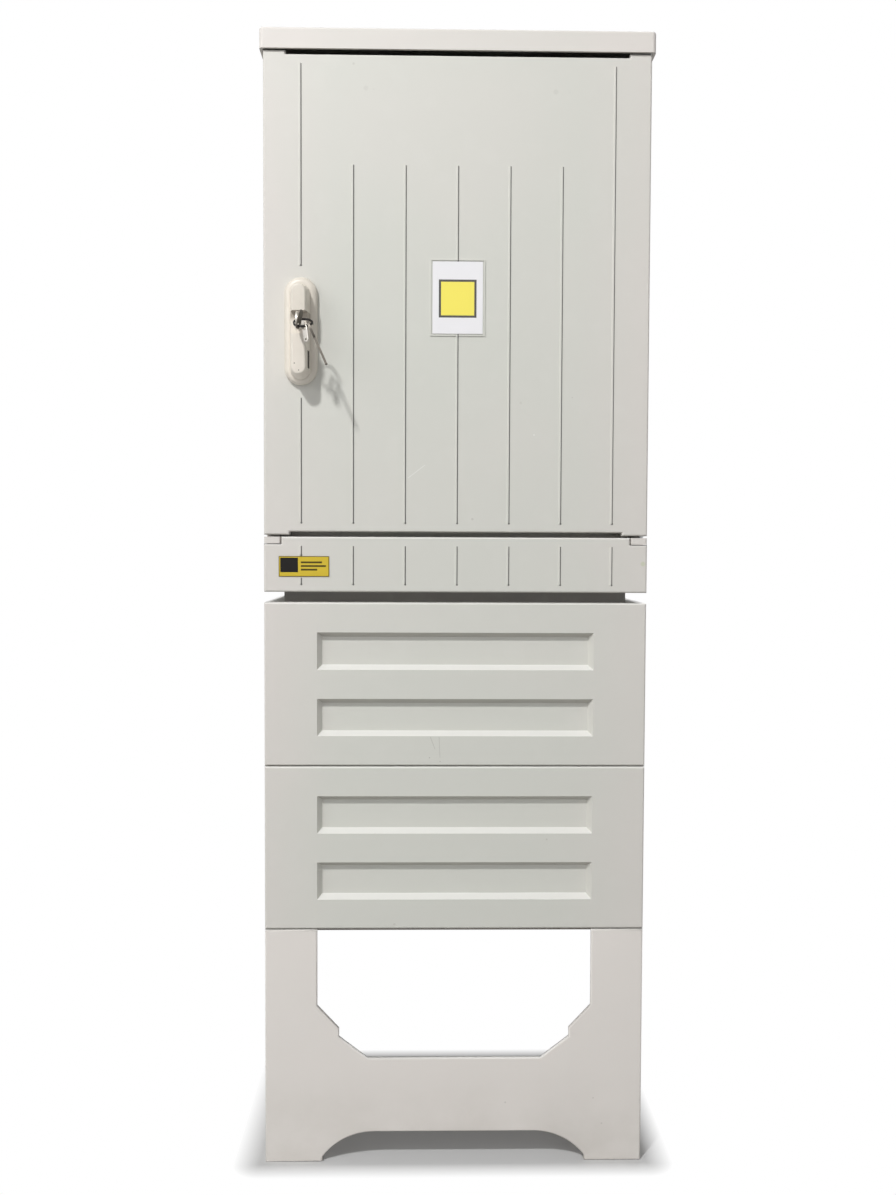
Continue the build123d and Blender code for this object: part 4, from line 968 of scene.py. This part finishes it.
def fasten(name, model, body, places, seat_y, facing=1):
    """Copies of one fastener at their places on a seat, joined into one piece.

    Facing 1 turns their heads to the front, and -1 to the back.
    """
    turn = Matrix.Rotation(0.0 if facing > 0 else math.pi, 4, "Z")
    copies = []
    for x, z in places:
        copy = model.copy()
        copy.data = model.data.copy()
        bpy.context.scene.collection.objects.link(copy)
        set_in_place(copy, Matrix.Translation((x * MM, seat_y, z * MM)) @ turn)
        copies.append(copy)
    take(copies[0])
    for copy in copies[1:]:
        copy.select_set(True)
    bpy.ops.object.join()
    copies[0].name = copies[0].data.name = name
    give(copies[0], "zinc", body, "zinc_steel")


def pairs(across, heights):
    """Places left and right of the middle, at each height."""
    return [(side * across, z) for side in (-1, 1) for z in heights]


give(oval_base(), "cream", "door_leaf", "handle_cream", "handle_escutcheon")
give(lever_grip(), "lever", "handle", "handle_cream", "handle_lever")
give(dust_cap(), "cream", "dust_cover", "handle_cream", "handle_dust_cover")
give(thin_window_frame(), "frame", "cabinet", "foundation_grp", "foundation_front_frame")
give(split_ring(), "ring_wire", "ring", "ring_steel", "key_ring")
give(plain_tag(), "nickel", "ring", "zinc_steel")

pan, bolt = pan_screw(), hex_bolt()
busbar_places = [(x, z) for x in BUSBAR_X for z in BUSBAR_BOLT_Z]
earth_bar_places = [(x, EARTH_BAR_Z) for x in EARTH_BAR_X]
strap_places = [(x + side * STRAP_SCREW_REACH, STRAP_Z) for x in STRAP_X for side in (-1, 1)]
fasten("wall_screws", pan, "cabinet", pairs(*WALL_ROWS) + pairs(*PLATE_ROWS), WALL_BACK, -1)
fasten("plate_screws", pan, "cabinet", pairs(*PLATE_ROWS), PLATE_FACE)
fasten("busbar_bolts", bolt, "cabinet", busbar_places, BUSBAR_FACE)
fasten("earth_bar_bolts", bolt, "cabinet", earth_bar_places, EARTH_BAR_FACE)
fasten("strap_screws", pan, "cabinet", strap_places, STRAP_FACE)
fasten("front_frame_bolts", bolt, "cabinet", pairs(*FRAME_ROWS), FRONT_FLANGE, -1)
fasten("back_frame_bolts", bolt, "cabinet", pairs(*FRAME_ROWS), BACK_FLANGE)
fasten("panel_screws", pan, "cabinet", pairs(*PANEL_ROWS), PANEL_FLANGE, -1)
fasten("handle_screws", pan, "door_leaf", HANDLE_SCREWS, DOOR_INSIDE, -1)
for model in (pan, bolt):
    bpy.data.objects.remove(model)


# Studio: floor, lamps, world, camera

def floor():
    """A pale ground that takes the shadow near the cabinet and is white further off."""
    deselect()
    bpy.ops.mesh.primitive_plane_add(size=FLOOR_SIZE, location=FLOOR_MIDDLE)
    ground = bpy.context.object
    ground.name = "studio_floor"
    bpy.ops.object.transform_apply(location=True, rotation=True, scale=True)
    f = new_finish("studio floor")
    x, y, _ = f.axes()
    high = cad_box[1]
    out_x = (abs(x) - high[0]).larger(0.0)
    out_y = (abs(y) - high[1]).larger(0.0)
    reach = (out_x * out_x + out_y * out_y).root()
    lit = f.node("ShaderNodeBsdfDiffuse", inputs={"Color": opaque(FLOOR_GREY)})["BSDF"]
    glow = f.node("ShaderNodeEmission", inputs={"Color": opaque(WHITE), "Strength": 1.0})["Emission"]
    factor = f.looked_at() * reach.fade(*FLOOR_FADE)
    mixed = f.node("ShaderNodeMixShader", inputs={0: factor, 1: lit, 2: glow})["Shader"]
    f.node("ShaderNodeOutputMaterial", inputs={"Surface": mixed})
    ground.data.materials.append(f.owner)


def lamp(name, place, target, size, power):
    data = bpy.data.lights.new(name, "AREA")
    data.shape = "DISK"
    data.size = size
    data.energy = power
    obj = bpy.data.objects.new(name, data)
    bpy.context.scene.collection.objects.link(obj)
    obj.location = place
    obj.rotation_euler = (Vector(target) - Vector(place)).to_track_quat("-Z", "Y").to_euler()


def studio_world():
    """White where it is looked at, and a dim even light on the object."""
    world = bpy.data.worlds.new("studio")
    bpy.context.scene.world = world
    f = Finish(world)
    level = f.looked_at() * (1.0 - AMBIENT) + AMBIENT
    white = f.node("ShaderNodeBackground", inputs={"Color": opaque(WHITE), "Strength": level})["Background"]
    f.node("ShaderNodeOutputWorld", inputs={"Surface": white})


def camera():
    """Looks along +Y, turned right by the yaw and down by the pitch, and rolled."""
    forward = Vector((math.sin(CAMERA_YAW) * math.cos(CAMERA_PITCH),
                      math.cos(CAMERA_YAW) * math.cos(CAMERA_PITCH), -math.sin(CAMERA_PITCH)))
    level_right = Vector((math.cos(CAMERA_YAW), -math.sin(CAMERA_YAW), 0.0))
    level_up = level_right.cross(forward)
    right = level_right * math.cos(CAMERA_ROLL) + level_up * math.sin(CAMERA_ROLL)
    up = level_up * math.cos(CAMERA_ROLL) - level_right * math.sin(CAMERA_ROLL)
    data = bpy.data.cameras.new("camera")
    data.sensor_fit = "VERTICAL"
    data.sensor_height = SENSOR_HEIGHT
    data.lens = SENSOR_HEIGHT * FOCAL_PIXELS / IMAGE_HEIGHT
    data.clip_start = NEAR_CLIP
    obj = bpy.data.objects.new("camera", data)
    bpy.context.scene.collection.objects.link(obj)
    axes = Matrix((right, up, -forward)).transposed()
    obj.matrix_world = Matrix.Translation(CAMERA_PLACE) @ axes.to_4x4()
    bpy.context.scene.camera = obj


floor()
for name, settings in LAMPS.items():
    lamp(name, *settings)
studio_world()
camera()
bpy.context.scene.view_settings.view_transform = "Standard"
